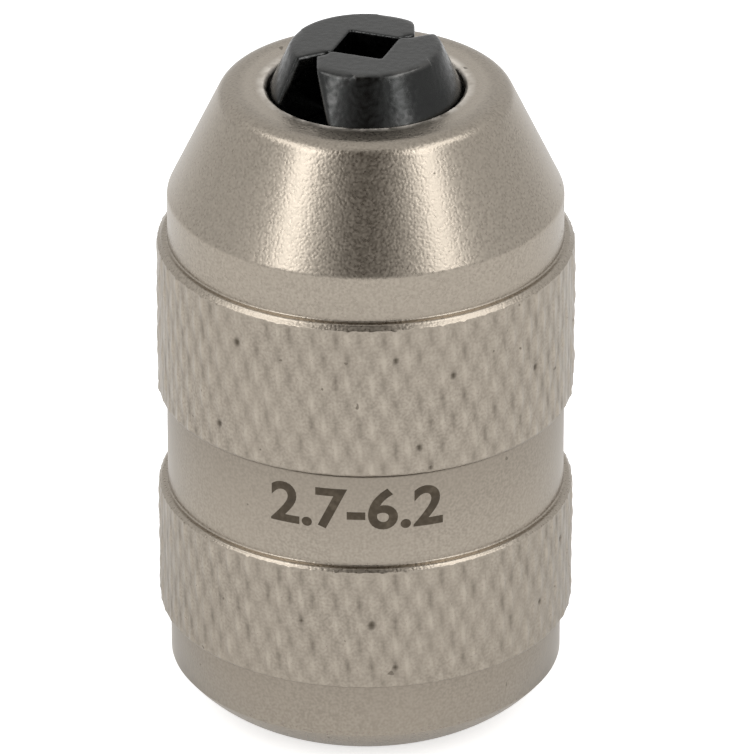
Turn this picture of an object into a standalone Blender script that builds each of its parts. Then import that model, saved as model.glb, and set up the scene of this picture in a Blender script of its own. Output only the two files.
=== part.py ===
"""Tapping chuck for small taps, with two knurled sleeves and a two-jaw square grip.

The rear sleeve and the core stand still. Turning the front sleeve turns the drive screw in the core's
thread, so the jaws ride down the cone of the front sleeve and open along the diagonal of their square.
Lengths below are in millimetres and are turned into metres where a mesh is made.
"""
import math

import bmesh
import bpy
from mathutils import Matrix, Vector

MM = 0.001
SEGMENTS = 64
BORE_SEGMENTS = 32

# Main sizes. Radii and the jaws' widths follow the diameter, and the sleeves' lengths follow the length.
# SIZE and STRETCH are both 1 for the chuck drawn here
OVERALL_DIAMETER = 22.0
OVERALL_LENGTH = 37.2
SIZE = OVERALL_DIAMETER / 22.0
STRETCH = OVERALL_LENGTH / 37.2

# Clearances between pieces
FIT = 0.3
SPLIT_GAP = 0.08
PARTING_GAP = 0.12
CONE_GAP = 0.15
BALL_GAP = 0.06

# Outside form
KNURL_R = OVERALL_DIAMETER / 2
RING_R = 10.35 * SIZE
WAIST_R = 10.45 * SIZE
BASE_FLAT_R = 7.74 * SIZE
BASE_EDGE_H = 2.15 * STRETCH
BASE_EDGE_BULGE = 0.2
REAR_KNURL_Z = 5.18 * STRETCH
REAR_KNURL_LENGTH = 6.24 * STRETCH
FRONT_KNURL_LENGTH = 8.08 * STRETCH
KNURL_LOWER_EDGE = 0.12
KNURL_CHAMFER = 0.82
NOSE_RING_LENGTH = 2.46 * STRETCH
NOSE_CONE_ANGLE = math.radians(25.5)
NOSE_CONE_LENGTH = 5.5 * STRETCH
NOSE_RIM_H = 0.59
NOSE_RIM_WIDTH = 1.05
RIM_STEPS = 4
NOSE_BORE_R = 5.16 * SIZE
NOSE_BORE_EDGE = 0.15

# Core and its rear thread
SHANK_R = 6.2 * SIZE
NECK_R = 6.6 * SIZE
NECK_STEP_DEPTH = 0.55
SOCKET_R = 4.45 * SIZE
SOCKET_DEPTH = 8.6 * STRETCH
SOCKET_EDGE = 0.5
FLANGE_R = 8.7 * SIZE
FLANGE_THICKNESS = 1.55 * STRETCH

# Thrust bearing
BALL_R = 0.75 * SIZE
BALL_COUNT = 12
BALL_START = math.radians(8.0)
BALL_CIRCLE_R = 7.78 * SIZE
BALL_LIFT = 2.35 * STRETCH
GROOVE_STEPS = 4
GROOVE_HALF_ANGLE = 47
RACE_SPACE = 1.1 * SIZE
CAGE_THICKNESS = 0.4
RACE_RING_THICKNESS = 1.45

# Rear retention
SNAP_RING_Z = 0.95
SNAP_RING_THICKNESS = 0.6
SNAP_RING_WIDTH = 1.0
SNAP_GROOVE_DEPTH = 0.45
DOWEL_R = 0.6
DOWEL_LENGTH = 4.0
RING_OPENING = math.radians(28.0)
SPLIT_RING_STEPS = 40

# Hollow of the front sleeve and the jaw guide
CAVITY_R = 9.2 * SIZE
GUIDE_RING_THICKNESS = 0.35
GUIDE_RING_WIDTH = 0.75
GUIDE_GROOVE_DEPTH = 0.45
GUIDE_BASE_H = 1.2
GUIDE_CHEEK_DROP = 0.6
GUIDE_CHEEK_INNER = 5.9 * SIZE
GUIDE_KEY_R = 0.5
GUIDE_KEY_LENGTH = 2.3

# Jaws
JAW_PROUD = 2.3
JAW_TOP_R = 3.9 * SIZE
JAW_CONE_ANGLE = math.radians(24.0)
JAW_LENGTH = 6.2
JAW_EDGE = 0.12
JAW_FOOT_CHAMFER = 0.45
SPLIT_ANGLE = math.radians(25.0)
SQUARE_SIDE = 2.7 * SIZE
TIP_DISTANCE = 2.62 * SIZE
TIP_TURN = math.radians(24.5)
TIP_LEAN = math.radians(12.0)
TIP_LENGTH = 3.4
JAW_FLANK = 5.75 * SIZE

# Drive screw
HEAD_R = 6.4 * SIZE
HEAD_H = 2.8
SCREW_R = 3.0 * SIZE
SCREW_LENGTH = 13.3 * STRETCH
SCREW_EDGE = 0.5
SLOT_NECK_WIDTH = 2.4 * SIZE
SLOT_WIDTH = 4.4 * SIZE
SLOT_LIP = 0.8
SLOT_HEIGHT = 1.3
FOOT_LENGTH = 1.7 * SIZE
FOOT_START = 2.0 * SIZE

# Jaw springs
SPRING_R = 0.48
SPRING_WIRE_R = 0.12
SPRING_TURNS = 8
SPRING_OFFSET = 3.35 * SIZE
SPRING_HOLE_DEPTH = 3.7 * SIZE
SPRING_LIFT = 1.0
SPRING_POINTS_PER_TURN = 8

# Places that follow from the sizes above
JAW_TOP_Z = OVERALL_LENGTH
NOSE_TOP_Z = JAW_TOP_Z - JAW_PROUD
CONE_END_Z = NOSE_TOP_Z - NOSE_RIM_H
CONE_START_Z = CONE_END_Z - NOSE_CONE_LENGTH
FRONT_KNURL_TOP_Z = CONE_START_Z - NOSE_RING_LENGTH - KNURL_CHAMFER
WAIST_TOP_Z = FRONT_KNURL_TOP_Z - FRONT_KNURL_LENGTH
FRONT_START_Z = WAIST_TOP_Z + PARTING_GAP
REAR_KNURL_TOP_Z = REAR_KNURL_Z + REAR_KNURL_LENGTH
CONE_END_R = RING_R - NOSE_CONE_LENGTH * math.tan(NOSE_CONE_ANGLE)
NECK_START_Z = WAIST_TOP_Z - NECK_STEP_DEPTH
BALL_CENTRE_Z = WAIST_TOP_Z + BALL_LIFT
RACE_TOP_Z = BALL_CENTRE_Z - RACE_SPACE / 2
FLANGE_Z = BALL_CENTRE_Z + RACE_SPACE / 2
FLANGE_TOP_Z = FLANGE_Z + FLANGE_THICKNESS
GUIDE_RING_Z = FLANGE_TOP_Z + FIT
GUIDE_Z = GUIDE_RING_Z + GUIDE_RING_THICKNESS + FIT / 2
JAW_FOOT_Z = JAW_TOP_Z - JAW_LENGTH
GUIDE_CHEEK_TOP_Z = JAW_FOOT_Z - GUIDE_CHEEK_DROP
SPRING_Z = JAW_FOOT_Z + SPRING_LIFT
HEAD_TOP_Z = JAW_FOOT_Z - FIT
HEAD_Z = HEAD_TOP_Z - HEAD_H
SLOT_Z = HEAD_TOP_Z - SLOT_LIP - SLOT_HEIGHT
SNAP_GROOVE_R = SHANK_R - SNAP_GROOVE_DEPTH
REAR_COUNTERBORE_R = SNAP_GROOVE_R + SNAP_RING_WIDTH + FIT
REAR_COUNTERBORE_H = SNAP_RING_Z + SNAP_RING_THICKNESS + FIT
DOWEL_CIRCLE_R = SHANK_R + FIT / 2
DOWEL_Z = REAR_COUNTERBORE_H + FIT / 3
CUT_OVERSHOOT = 1.0
CUT_REACH = KNURL_R + CUT_OVERSHOOT


def jaw_cone_r(z):
    """Radius of the jaws' conical back at height z, with the jaws closed."""
    return JAW_TOP_R + (JAW_TOP_Z - z) * math.tan(JAW_CONE_ANGLE)


def cavity_cone_r(z):
    """Radius of the front sleeve's inner cone at height z."""
    return jaw_cone_r(z) + CONE_GAP


def cone_z_at(radius):
    """Height at which the front sleeve's inner cone has this radius."""
    return JAW_TOP_Z - (radius - CONE_GAP - JAW_TOP_R) / math.tan(JAW_CONE_ANGLE)


def arc(centre, radius, start, end, count):
    """Points (r, z) along a circular arc, end points included."""
    points = []
    for index in range(count + 1):
        angle = start + (end - start) * index / count
        points.append((centre[0] + radius * math.cos(angle), centre[1] + radius * math.sin(angle)))
    return points


def bulged(first, last, bulge, count):
    """Points from first to last along a shallow curve that stands out by bulge at its middle."""
    dr = last[0] - first[0]
    dz = last[1] - first[1]
    length = math.hypot(dr, dz)
    points = []
    for index in range(count + 1):
        share = index / count
        out = bulge * 4 * share * (1 - share)
        points.append((first[0] + dr * share + out * dz / length, first[1] + dz * share - out * dr / length))
    return points


def clear_scene():
    for old in list(bpy.data.objects):
        bpy.data.objects.remove(old, do_unlink=True)


def metal(name, colour, roughness, metallic=1.0):
    """Principled material for one sub-part."""
    material = bpy.data.materials.new(name)
    material.use_nodes = True
    shader = material.node_tree.nodes["Principled BSDF"]
    shader.inputs["Base Color"].default_value = (*colour, 1.0)
    shader.inputs["Roughness"].default_value = roughness
    shader.inputs["Metallic"].default_value = metallic
    material.diffuse_color = (*colour, 1.0)
    return material


def finish_mesh(name, bm, material=None):
    """Turn a bmesh in millimetres into an object in metres."""
    bmesh.ops.remove_doubles(bm, verts=bm.verts, dist=1e-5)
    bmesh.ops.recalc_face_normals(bm, faces=bm.faces)
    bmesh.ops.scale(bm, vec=(MM, MM, MM), verts=bm.verts)
    mesh = bpy.data.meshes.new(name)
    bm.to_mesh(mesh)
    bm.free()
    mesh.shade_smooth()
    mesh.set_sharp_from_angle(angle=math.radians(30))
    piece = bpy.data.objects.new(name, mesh)
    bpy.context.collection.objects.link(piece)
    if material:
        mesh.materials.append(material)
    return piece


def turned(name, outline, material=None, segments=SEGMENTS):
    """Revolve a closed outline of (radius, height) points round the Z axis."""
    bm = bmesh.new()
    verts = [bm.verts.new((radius, 0, height)) for radius, height in outline]
    edges = [bm.edges.new((verts[i - 1], verts[i])) for i in range(len(verts))]
    on_axis = [edge for edge in edges if edge.verts[0].co.x < 1e-6 and edge.verts[1].co.x < 1e-6]
    for edge in on_axis:
        edges.remove(edge)
        bm.edges.remove(edge)
    bmesh.ops.spin(bm, geom=verts + edges, cent=(0, 0, 0), axis=(0, 0, 1), angle=math.tau,
                   steps=segments, use_merge=True)
    return finish_mesh(name, bm, material)


def prism(name, outline, low, high, material=None):
    """Extrude a closed outline of (x, y) points from height low to height high."""
    bm = bmesh.new()
    floor = bm.faces.new([bm.verts.new((x, y, low)) for x, y in outline])
    made = bmesh.ops.extrude_face_region(bm, geom=[floor])
    top = [item for item in made["geom"] if isinstance(item, bmesh.types.BMVert)]
    bmesh.ops.translate(bm, vec=(0, 0, high - low), verts=top)
    return finish_mesh(name, bm, material)


def rod(name, radius, start, end, material=None, segments=BORE_SEGMENTS):
    """Straight cylinder between two points in millimetres."""
    start = Vector(start)
    end = Vector(end)
    bm = bmesh.new()
    bmesh.ops.create_cone(bm, cap_ends=True, segments=segments, radius1=radius, radius2=radius,
                          depth=(end - start).length)
    turn = (end - start).to_track_quat("Z", "Y")
    bmesh.ops.rotate(bm, cent=(0, 0, 0), matrix=turn.to_matrix(), verts=bm.verts)
    bmesh.ops.translate(bm, vec=(start + end) / 2, verts=bm.verts)
    return finish_mesh(name, bm, material)


def block(name, low, high):
    """Box between two corners in millimetres."""
    corners = [(low[0], low[1]), (high[0], low[1]), (high[0], high[1]), (low[0], high[1])]
    return prism(name, corners, low[2], high[2])


def shape_with(piece, tool, operation="DIFFERENCE"):
    """Cut, join or trim a piece with another solid, which is then left out of the model."""
    modifier = piece.modifiers.new(tool.name, "BOOLEAN")
    modifier.operation = operation
    modifier.solver = "EXACT"
    modifier.object = tool
    tool.hide_render = True
    tool.display_type = "WIRE"


def polar(radius, angle, z=0.0):
    """Point in millimetres at a radius and an angle round the axis."""
    return (radius * math.cos(angle), radius * math.sin(angle), z)


def rear_sleeve():
    """Still outer sleeve: base ring, rear knurl band and waist."""
    bore_r = SHANK_R + FIT
    seat_z = NECK_START_Z - FIT
    outline = [(REAR_COUNTERBORE_R, 0.0)]
    outline += bulged((BASE_FLAT_R, 0.0), (RING_R, BASE_EDGE_H), BASE_EDGE_BULGE, 5)
    outline += [
        (RING_R, REAR_KNURL_Z),
        (KNURL_R - KNURL_LOWER_EDGE, REAR_KNURL_Z),
        (KNURL_R, REAR_KNURL_Z + KNURL_LOWER_EDGE),
        (KNURL_R, REAR_KNURL_TOP_Z),
        (WAIST_R, REAR_KNURL_TOP_Z + KNURL_CHAMFER),
        (WAIST_R, WAIST_TOP_Z),
        (NECK_R + FIT, WAIST_TOP_Z),
        (NECK_R + FIT, seat_z),
        (bore_r, seat_z),
        (bore_r, REAR_COUNTERBORE_H),
        (REAR_COUNTERBORE_R, REAR_COUNTERBORE_H),
    ]
    piece = turned("rear_sleeve", outline, metal("rear_sleeve_nickel", (0.62, 0.58, 0.53), 0.36))
    shape_with(piece, dowel_hole("rear_sleeve_dowel_hole"))
    return piece


def core_body():
    """Still core: rear thread, shank, bearing flange and the nut thread of the drive screw."""
    screw_bore_r = SCREW_R + FIT
    groove = race_groove(90)
    outline = [
        (SOCKET_R + SOCKET_EDGE, 0.0),
        (SHANK_R, 0.0),
        (SHANK_R, SNAP_RING_Z - FIT / 2),
        (SNAP_GROOVE_R, SNAP_RING_Z - FIT / 2),
        (SNAP_GROOVE_R, SNAP_RING_Z + SNAP_RING_THICKNESS + FIT / 2),
        (SHANK_R, SNAP_RING_Z + SNAP_RING_THICKNESS + FIT / 2),
        (SHANK_R, NECK_START_Z),
        (NECK_R, NECK_START_Z),
        (NECK_R, FLANGE_Z),
    ]
    inner = [point for point in groove if point[1] > FLANGE_Z]
    outline += sorted(inner)
    outline += [
        (FLANGE_R, FLANGE_Z),
        (FLANGE_R, FLANGE_TOP_Z),
        (screw_bore_r, FLANGE_TOP_Z),
        (screw_bore_r, SOCKET_DEPTH),
        (SOCKET_R, SOCKET_DEPTH),
        (SOCKET_R, SOCKET_EDGE),
    ]
    piece = turned("core_body", outline, metal("core_steel", (0.42, 0.42, 0.42), 0.34))
    shape_with(piece, dowel_hole("core_dowel_hole"))
    return piece


def dowel_hole(name):
    """Cutter for the dowel that keeps the rear sleeve from turning on the core."""
    low = REAR_COUNTERBORE_H - FIT
    high = DOWEL_Z + DOWEL_LENGTH + FIT
    angle = SPLIT_ANGLE + math.pi
    start = polar(DOWEL_CIRCLE_R, angle, low)
    end = polar(DOWEL_CIRCLE_R, angle, high)
    return rod(name, DOWEL_R + FIT * 0.7, start, end)


def sleeve_dowel():
    angle = SPLIT_ANGLE + math.pi
    start = polar(DOWEL_CIRCLE_R, angle, DOWEL_Z)
    end = polar(DOWEL_CIRCLE_R, angle, DOWEL_Z + DOWEL_LENGTH)
    return rod("sleeve_dowel", DOWEL_R, start, end, metal("dowel_steel", (0.5, 0.5, 0.5), 0.3))


def split_ring(name, inner_r, width, z, thickness, material):
    """Open spring ring with a gap for the pliers."""
    bm = bmesh.new()
    outer_r = inner_r + width
    top_z = z + thickness
    section = [(inner_r, z), (outer_r, z), (outer_r, top_z), (inner_r, top_z)]
    loops = []
    for index in range(SPLIT_RING_STEPS + 1):
        angle = RING_OPENING / 2 + (math.tau - RING_OPENING) * index / SPLIT_RING_STEPS
        loops.append([bm.verts.new(polar(radius, angle, height)) for radius, height in section])
    for first, second in zip(loops, loops[1:]):
        for corner in range(4):
            bm.faces.new((first[corner - 1], first[corner], second[corner], second[corner - 1]))
    bm.faces.new(loops[0])
    bm.faces.new(loops[-1])
    return finish_mesh(name, bm, material)


def rear_snap_ring():
    inner_r = SNAP_GROOVE_R + FIT / 2
    material = metal("snap_ring_steel", (0.2, 0.2, 0.2), 0.4)
    return split_ring("rear_snap_ring", inner_r, SNAP_RING_WIDTH, SNAP_RING_Z, SNAP_RING_THICKNESS, material)


def guide_snap_ring():
    """Spring ring in the front sleeve's bore that keeps the jaw guide up against its seat."""
    inner_r = CAVITY_R + GUIDE_GROOVE_DEPTH - FIT / 2 - GUIDE_RING_WIDTH
    material = metal("guide_ring_steel", (0.2, 0.2, 0.2), 0.4)
    return split_ring("guide_snap_ring", inner_r, GUIDE_RING_WIDTH, GUIDE_RING_Z, GUIDE_RING_THICKNESS,
                      material)


def front_sleeve():
    """Turning sleeve: front knurl band, ring, nose cone and the inner cone that closes the jaws."""
    rim_start_r = CONE_END_R
    rim_end_r = rim_start_r - NOSE_RIM_WIDTH
    ring_start_z = FRONT_KNURL_TOP_Z + KNURL_CHAMFER
    groove_r = CAVITY_R + GUIDE_GROOVE_DEPTH
    outline = [
        (CAVITY_R, FRONT_START_Z),
        (KNURL_R - KNURL_LOWER_EDGE, FRONT_START_Z),
        (KNURL_R, FRONT_START_Z + KNURL_LOWER_EDGE),
        (KNURL_R, FRONT_KNURL_TOP_Z),
        (RING_R, ring_start_z),
        (RING_R, CONE_START_Z),
    ]
    outline += rounded_rim((rim_start_r, CONE_END_Z), (rim_end_r, NOSE_TOP_Z))
    outline += [
        (NOSE_BORE_R + NOSE_BORE_EDGE, NOSE_TOP_Z),
        (NOSE_BORE_R, NOSE_TOP_Z - NOSE_BORE_EDGE),
        (NOSE_BORE_R, cone_z_at(NOSE_BORE_R)),
        (CAVITY_R, cone_z_at(CAVITY_R)),
        (CAVITY_R, GUIDE_RING_Z + GUIDE_RING_THICKNESS + FIT / 4),
        (groove_r, GUIDE_RING_Z + GUIDE_RING_THICKNESS + FIT / 4),
        (groove_r, GUIDE_RING_Z - FIT / 4),
        (CAVITY_R, GUIDE_RING_Z - FIT / 4),
    ]
    piece = turned("front_sleeve", outline, metal("front_sleeve_nickel", (0.62, 0.58, 0.53), 0.36))
    for side in (0, 1):
        shape_with(piece, key_hole("front_sleeve_key_hole", side))
    return piece


def rounded_rim(start, end):
    """Rim of the nose: leaves the cone along its slope and meets the flat nose face level."""
    slope = Vector((-math.sin(NOSE_CONE_ANGLE), math.cos(NOSE_CONE_ANGLE)))
    rise = (end[1] - start[1]) / slope.y
    corner = (start[0] + slope.x * rise, end[1])
    points = []
    for index in range(RIM_STEPS + 1):
        share = index / RIM_STEPS
        first = (1 - share) ** 2
        middle = 2 * share * (1 - share)
        last = share ** 2
        points.append((first * start[0] + middle * corner[0] + last * end[0],
                       first * start[1] + middle * corner[1] + last * end[1]))
    return points


def key_hole(name, side):
    """Cutter for one guide key, half in the sleeve's wall and half in the jaw guide."""
    angle = SPLIT_ANGLE + math.pi * side
    low = GUIDE_Z - FIT / 2
    high = GUIDE_Z + GUIDE_KEY_LENGTH + FIT * 0.6
    return rod(name, GUIDE_KEY_R + FIT / 2, polar(CAVITY_R, angle, low), polar(CAVITY_R, angle, high),
               segments=16)


def guide_key(name, side):
    angle = SPLIT_ANGLE + math.pi * side
    start = polar(CAVITY_R, angle, GUIDE_Z + FIT / 4)
    end = polar(CAVITY_R, angle, GUIDE_Z + GUIDE_KEY_LENGTH)
    return rod(name, GUIDE_KEY_R, start, end, metal(name + "_steel", (0.5, 0.5, 0.5), 0.3), segments=16)


def jaw_guide():
    """Slotted guide, locked in the front sleeve, whose two cheeks keep jaws and screw head in line."""
    outer_r = CAVITY_R - FIT
    inner_r = HEAD_R + FIT
    base_top_z = GUIDE_Z + GUIDE_BASE_H
    outline = [
        (inner_r, GUIDE_Z),
        (outer_r, GUIDE_Z),
        (outer_r, cone_z_at(CAVITY_R) - FIT),
        (cavity_cone_r(GUIDE_CHEEK_TOP_Z) - FIT, GUIDE_CHEEK_TOP_Z),
        (GUIDE_CHEEK_INNER, GUIDE_CHEEK_TOP_Z),
        (GUIDE_CHEEK_INNER, base_top_z),
        (inner_r, base_top_z),
    ]
    piece = turned("jaw_guide", outline, metal("guide_steel", (0.35, 0.35, 0.36), 0.4))
    half_slot = JAW_FLANK + FIT
    slot = block("guide_slot", (-half_slot, -CUT_REACH, base_top_z), (half_slot, CUT_REACH, JAW_TOP_Z))
    slot.rotation_euler.z = SPLIT_ANGLE
    shape_with(piece, slot)
    for side in (0, 1):
        shape_with(piece, key_hole("guide_key_hole", side))
    return piece


def race_groove(facing):
    """Arc of the ball groove in one race, round the side of the ball that faces that way in degrees."""
    start = math.radians(facing - GROOVE_HALF_ANGLE)
    end = math.radians(facing + GROOVE_HALF_ANGLE)
    return arc((BALL_CIRCLE_R, BALL_CENTRE_Z), BALL_R + BALL_GAP, start, end, GROOVE_STEPS)


def bearing_ring():
    """Lower race, screwed into the front sleeve, which keeps the sleeve on the core."""
    top_z = RACE_TOP_Z
    groove = race_groove(270)
    outline = [
        (NECK_R + FIT, top_z - RACE_RING_THICKNESS),
        (CAVITY_R - FIT, top_z - RACE_RING_THICKNESS),
        (CAVITY_R - FIT, top_z),
    ]
    outline += sorted((point for point in groove if point[1] < top_z), reverse=True)
    outline.append((NECK_R + FIT, top_z))
    return turned("bearing_ring", outline, metal("race_steel", (0.5, 0.5, 0.52), 0.22))


def ball_cage():
    """Flat ring that spaces the balls and rolls round at half the sleeve's speed."""
    low = BALL_CENTRE_Z - CAGE_THICKNESS / 2
    high = BALL_CENTRE_Z + CAGE_THICKNESS / 2
    inner_r = NECK_R + FIT
    outer_r = 2 * BALL_CIRCLE_R - inner_r
    outline = [(inner_r, low), (outer_r, low), (outer_r, high), (inner_r, high)]
    piece = turned("ball_cage", outline, metal("cage_brass", (0.72, 0.55, 0.28), 0.35))
    for index in range(BALL_COUNT):
        hole = rod("cage_hole", BALL_R + BALL_GAP, ball_place(index, low - CUT_OVERSHOOT),
                   ball_place(index, high + CUT_OVERSHOOT), segments=14)
        shape_with(piece, hole)
    return piece


def ball_place(index, z):
    """Point at height z on the line through one ball, round the ball circle."""
    return polar(BALL_CIRCLE_R, BALL_START + math.tau * index / BALL_COUNT, z)


def bearing_balls():
    """Thrust balls, all with one mesh."""
    bm = bmesh.new()
    bmesh.ops.create_icosphere(bm, subdivisions=2, radius=BALL_R)
    first = finish_mesh("bearing_ball_01", bm, metal("ball_steel", (0.6, 0.6, 0.62), 0.15))
    balls = [first]
    for index in range(1, BALL_COUNT):
        ball = bpy.data.objects.new(f"bearing_ball_{index + 1:02d}", first.data)
        bpy.context.collection.objects.link(ball)
        balls.append(ball)
    for index, ball in enumerate(balls):
        ball.location = Vector(ball_place(index, BALL_CENTRE_Z)) * MM
    return balls


def drive_screw():
    """Screw whose head carries both jaws in a T slot and whose thread runs in the core."""
    outline = [
        (0.0, HEAD_Z - SCREW_LENGTH),
        (SCREW_R - SCREW_EDGE, HEAD_Z - SCREW_LENGTH),
        (SCREW_R, HEAD_Z - SCREW_LENGTH + SCREW_EDGE),
        (SCREW_R, HEAD_Z),
        (HEAD_R - SCREW_EDGE, HEAD_Z),
        (HEAD_R, HEAD_Z + SCREW_EDGE),
        (HEAD_R, HEAD_TOP_Z),
        (0.0, HEAD_TOP_Z),
    ]
    piece = turned("drive_screw", outline, metal("screw_steel", (0.4, 0.4, 0.41), 0.32))
    neck = SLOT_NECK_WIDTH / 2
    hollow = SLOT_WIDTH / 2
    hollow_top_z = SLOT_Z + SLOT_HEIGHT
    tools = [
        block("slot_neck", (-neck, -CUT_REACH, SLOT_Z + SLOT_HEIGHT / 2), (neck, CUT_REACH, JAW_TOP_Z)),
        block("slot_hollow", (-hollow, -CUT_REACH, SLOT_Z), (hollow, CUT_REACH, hollow_top_z)),
    ]
    for side in (-1, 1):
        tools.append(flank_block("head_flat", side, HEAD_Z - CUT_OVERSHOOT, JAW_TOP_Z))
    for tool in tools:
        tool.rotation_euler.z = SPLIT_ANGLE
        shape_with(piece, tool)
    return piece


def flank_block(name, side, low, high):
    """Cutter for one of the two flats that run between the cheeks of the guide."""
    near = side * JAW_FLANK
    far = side * CUT_REACH
    return block(name, (min(near, far), -CUT_REACH, low), (max(near, far), CUT_REACH, high))


def jaw(name, turn):
    """One jaw: half a cone with a square notch, a flat on one tip and a T foot in the screw head."""
    edge_r = jaw_cone_r(JAW_TOP_Z - JAW_EDGE)
    foot_r = jaw_cone_r(JAW_FOOT_Z + JAW_FOOT_CHAMFER)
    outline = [
        (0.0, JAW_FOOT_Z),
        (foot_r - JAW_FOOT_CHAMFER, JAW_FOOT_Z),
        (foot_r, JAW_FOOT_Z + JAW_FOOT_CHAMFER),
        (edge_r, JAW_TOP_Z - JAW_EDGE),
        (edge_r - JAW_EDGE, JAW_TOP_Z),
        (0.0, JAW_TOP_Z),
    ]
    piece = turned(name, outline, metal(name + "_black", (0.035, 0.035, 0.037), 0.42))
    for tool, operation in jaw_tools(name):
        tool.rotation_euler.z += turn
        shape_with(piece, tool, operation)
    return piece


def jaw_tools(name):
    """Cutters and the foot for a jaw that opens along +Y, before it is turned to its place."""
    low = HEAD_Z - CUT_OVERSHOOT
    high = JAW_TOP_Z + CUT_OVERSHOOT
    half = SQUARE_SIDE / math.sqrt(2)
    notch = [(-half, 0.0), (0.0, -half), (half, 0.0), (0.0, half)]
    split = block(name + "_split", (-CUT_REACH, -CUT_REACH, low), (CUT_REACH, SPLIT_GAP / 2, high))
    yield split, "DIFFERENCE"
    yield prism(name + "_square", notch, low, high), "DIFFERENCE"
    yield tip_cutter(name), "DIFFERENCE"
    for side in (-1, 1):
        yield flank_block(name + "_flank", side, low, high), "DIFFERENCE"
        start = (side * SPRING_OFFSET, -CUT_OVERSHOOT, SPRING_Z)
        end = (side * SPRING_OFFSET, SPRING_HOLE_DEPTH, SPRING_Z)
        yield rod(name + "_spring_hole", SPRING_R + FIT * 0.7, start, end, segments=16), "DIFFERENCE"
    yield jaw_foot(name), "UNION"


def tip_cutter(name):
    """Leaning block that leaves the flat on the +X tip of a jaw, above the step inside the nose."""
    cutter = block(name + "_tip", (0.0, -CUT_REACH, -TIP_LENGTH), (CUT_REACH, CUT_REACH, JAW_PROUD))
    lean = Matrix.Rotation(TIP_LEAN, 4, "Y")
    turn = Matrix.Rotation(-TIP_TURN, 4, "Z")
    place = Matrix.Translation(Vector((TIP_DISTANCE, 0, 0)) * MM)
    lift = Matrix.Translation(Vector((0, 0, JAW_TOP_Z)) * MM)
    cutter.data.transform(lift @ turn @ place @ lean)
    return cutter


def jaw_foot(name):
    """T foot under a jaw, as one profile run along the slot."""
    neck = SLOT_NECK_WIDTH / 2 - FIT * 0.8
    foot = SLOT_WIDTH / 2 - FIT
    low = SLOT_Z + FIT * 0.8
    ledge = SLOT_Z + SLOT_HEIGHT - FIT * 0.8
    bury = JAW_FOOT_Z + FIT
    section = [(-foot, low), (foot, low), (foot, ledge), (neck, ledge), (neck, bury), (-neck, bury),
               (-neck, ledge), (-foot, ledge)]
    bm = bmesh.new()
    face = bm.faces.new([bm.verts.new((x, FOOT_START, z)) for x, z in section])
    made = bmesh.ops.extrude_face_region(bm, geom=[face])
    far = [item for item in made["geom"] if isinstance(item, bmesh.types.BMVert)]
    bmesh.ops.translate(bm, vec=(0, FOOT_LENGTH, 0), verts=far)
    return finish_mesh(name + "_foot", bm)


def jaw_spring(name, side):
    """Coil spring between the jaws, lying across the split in a blind hole of each."""
    length = 2 * SPRING_HOLE_DEPTH - 2 * FIT - 2 * SPRING_WIRE_R
    count = SPRING_TURNS * SPRING_POINTS_PER_TURN
    coil = bpy.data.curves.new(name, "CURVE")
    coil.dimensions = "3D"
    coil.bevel_depth = SPRING_WIRE_R * MM
    coil.bevel_resolution = 1
    coil.use_fill_caps = True
    line = coil.splines.new("POLY")
    line.points.add(count)
    for index in range(count + 1):
        angle = math.tau * index / SPRING_POINTS_PER_TURN
        along = length * (index / count - 0.5)
        point = Vector((side * SPRING_OFFSET + SPRING_R * math.cos(angle), along,
                        SPRING_Z + SPRING_R * math.sin(angle)))
        line.points[index].co = (*(point * MM), 1.0)
    piece = bpy.data.objects.new(name, coil)
    piece.rotation_euler.z = SPLIT_ANGLE
    bpy.context.collection.objects.link(piece)
    coil.materials.append(metal(name + "_wire", (0.55, 0.55, 0.56), 0.25))
    return piece


def build():
    clear_scene()
    rear_sleeve()
    core_body()
    rear_snap_ring()
    sleeve_dowel()
    front_sleeve()
    bearing_ring()
    ball_cage()
    bearing_balls()
    guide_snap_ring()
    jaw_guide()
    guide_key("guide_key_right", 0)
    guide_key("guide_key_left", 1)
    drive_screw()
    jaw("jaw_back", SPLIT_ANGLE)
    jaw("jaw_front", SPLIT_ANGLE + math.pi)
    jaw_spring("spring_right", 1)
    jaw_spring("spring_left", -1)


build()
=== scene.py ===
# %% [markdown]
# A small tapping chuck stands on its rear face. Outside there are two nickel plated sleeves with knurled
# bands, and two black jaws that make a square hole in the nose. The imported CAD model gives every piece
# its place and its motion. This lesson dresses that model: it gives the sleeves their real knurl, softens
# the jaws, cuts the threads and mixes a finish for every metal.

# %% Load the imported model
import math

import bmesh
import bpy
import numpy as np
from mathutils import Matrix, Vector


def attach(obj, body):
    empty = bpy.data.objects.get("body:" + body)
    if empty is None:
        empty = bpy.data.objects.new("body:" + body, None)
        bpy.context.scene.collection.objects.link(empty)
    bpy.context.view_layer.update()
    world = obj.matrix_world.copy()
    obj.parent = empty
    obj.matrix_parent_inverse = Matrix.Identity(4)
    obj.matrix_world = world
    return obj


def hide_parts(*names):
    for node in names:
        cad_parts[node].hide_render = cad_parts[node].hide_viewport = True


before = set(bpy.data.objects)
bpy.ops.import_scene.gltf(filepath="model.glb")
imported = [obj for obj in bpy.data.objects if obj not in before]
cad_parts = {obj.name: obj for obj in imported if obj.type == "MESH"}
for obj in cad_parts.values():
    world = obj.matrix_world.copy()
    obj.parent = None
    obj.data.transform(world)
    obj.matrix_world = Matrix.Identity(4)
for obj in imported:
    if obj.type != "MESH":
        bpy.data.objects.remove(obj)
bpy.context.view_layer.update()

MM = 0.001
print("nodes:", len(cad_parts))

# %% [markdown]
# The photograph was taken from about 27 degrees above the floor with a long lens, because the ellipses
# of the nose are narrow and the two sides of the sleeves run nearly parallel. A short lens close by would
# make the nose look too wide. The small shift puts the chuck where it stands in the frame.

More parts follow.
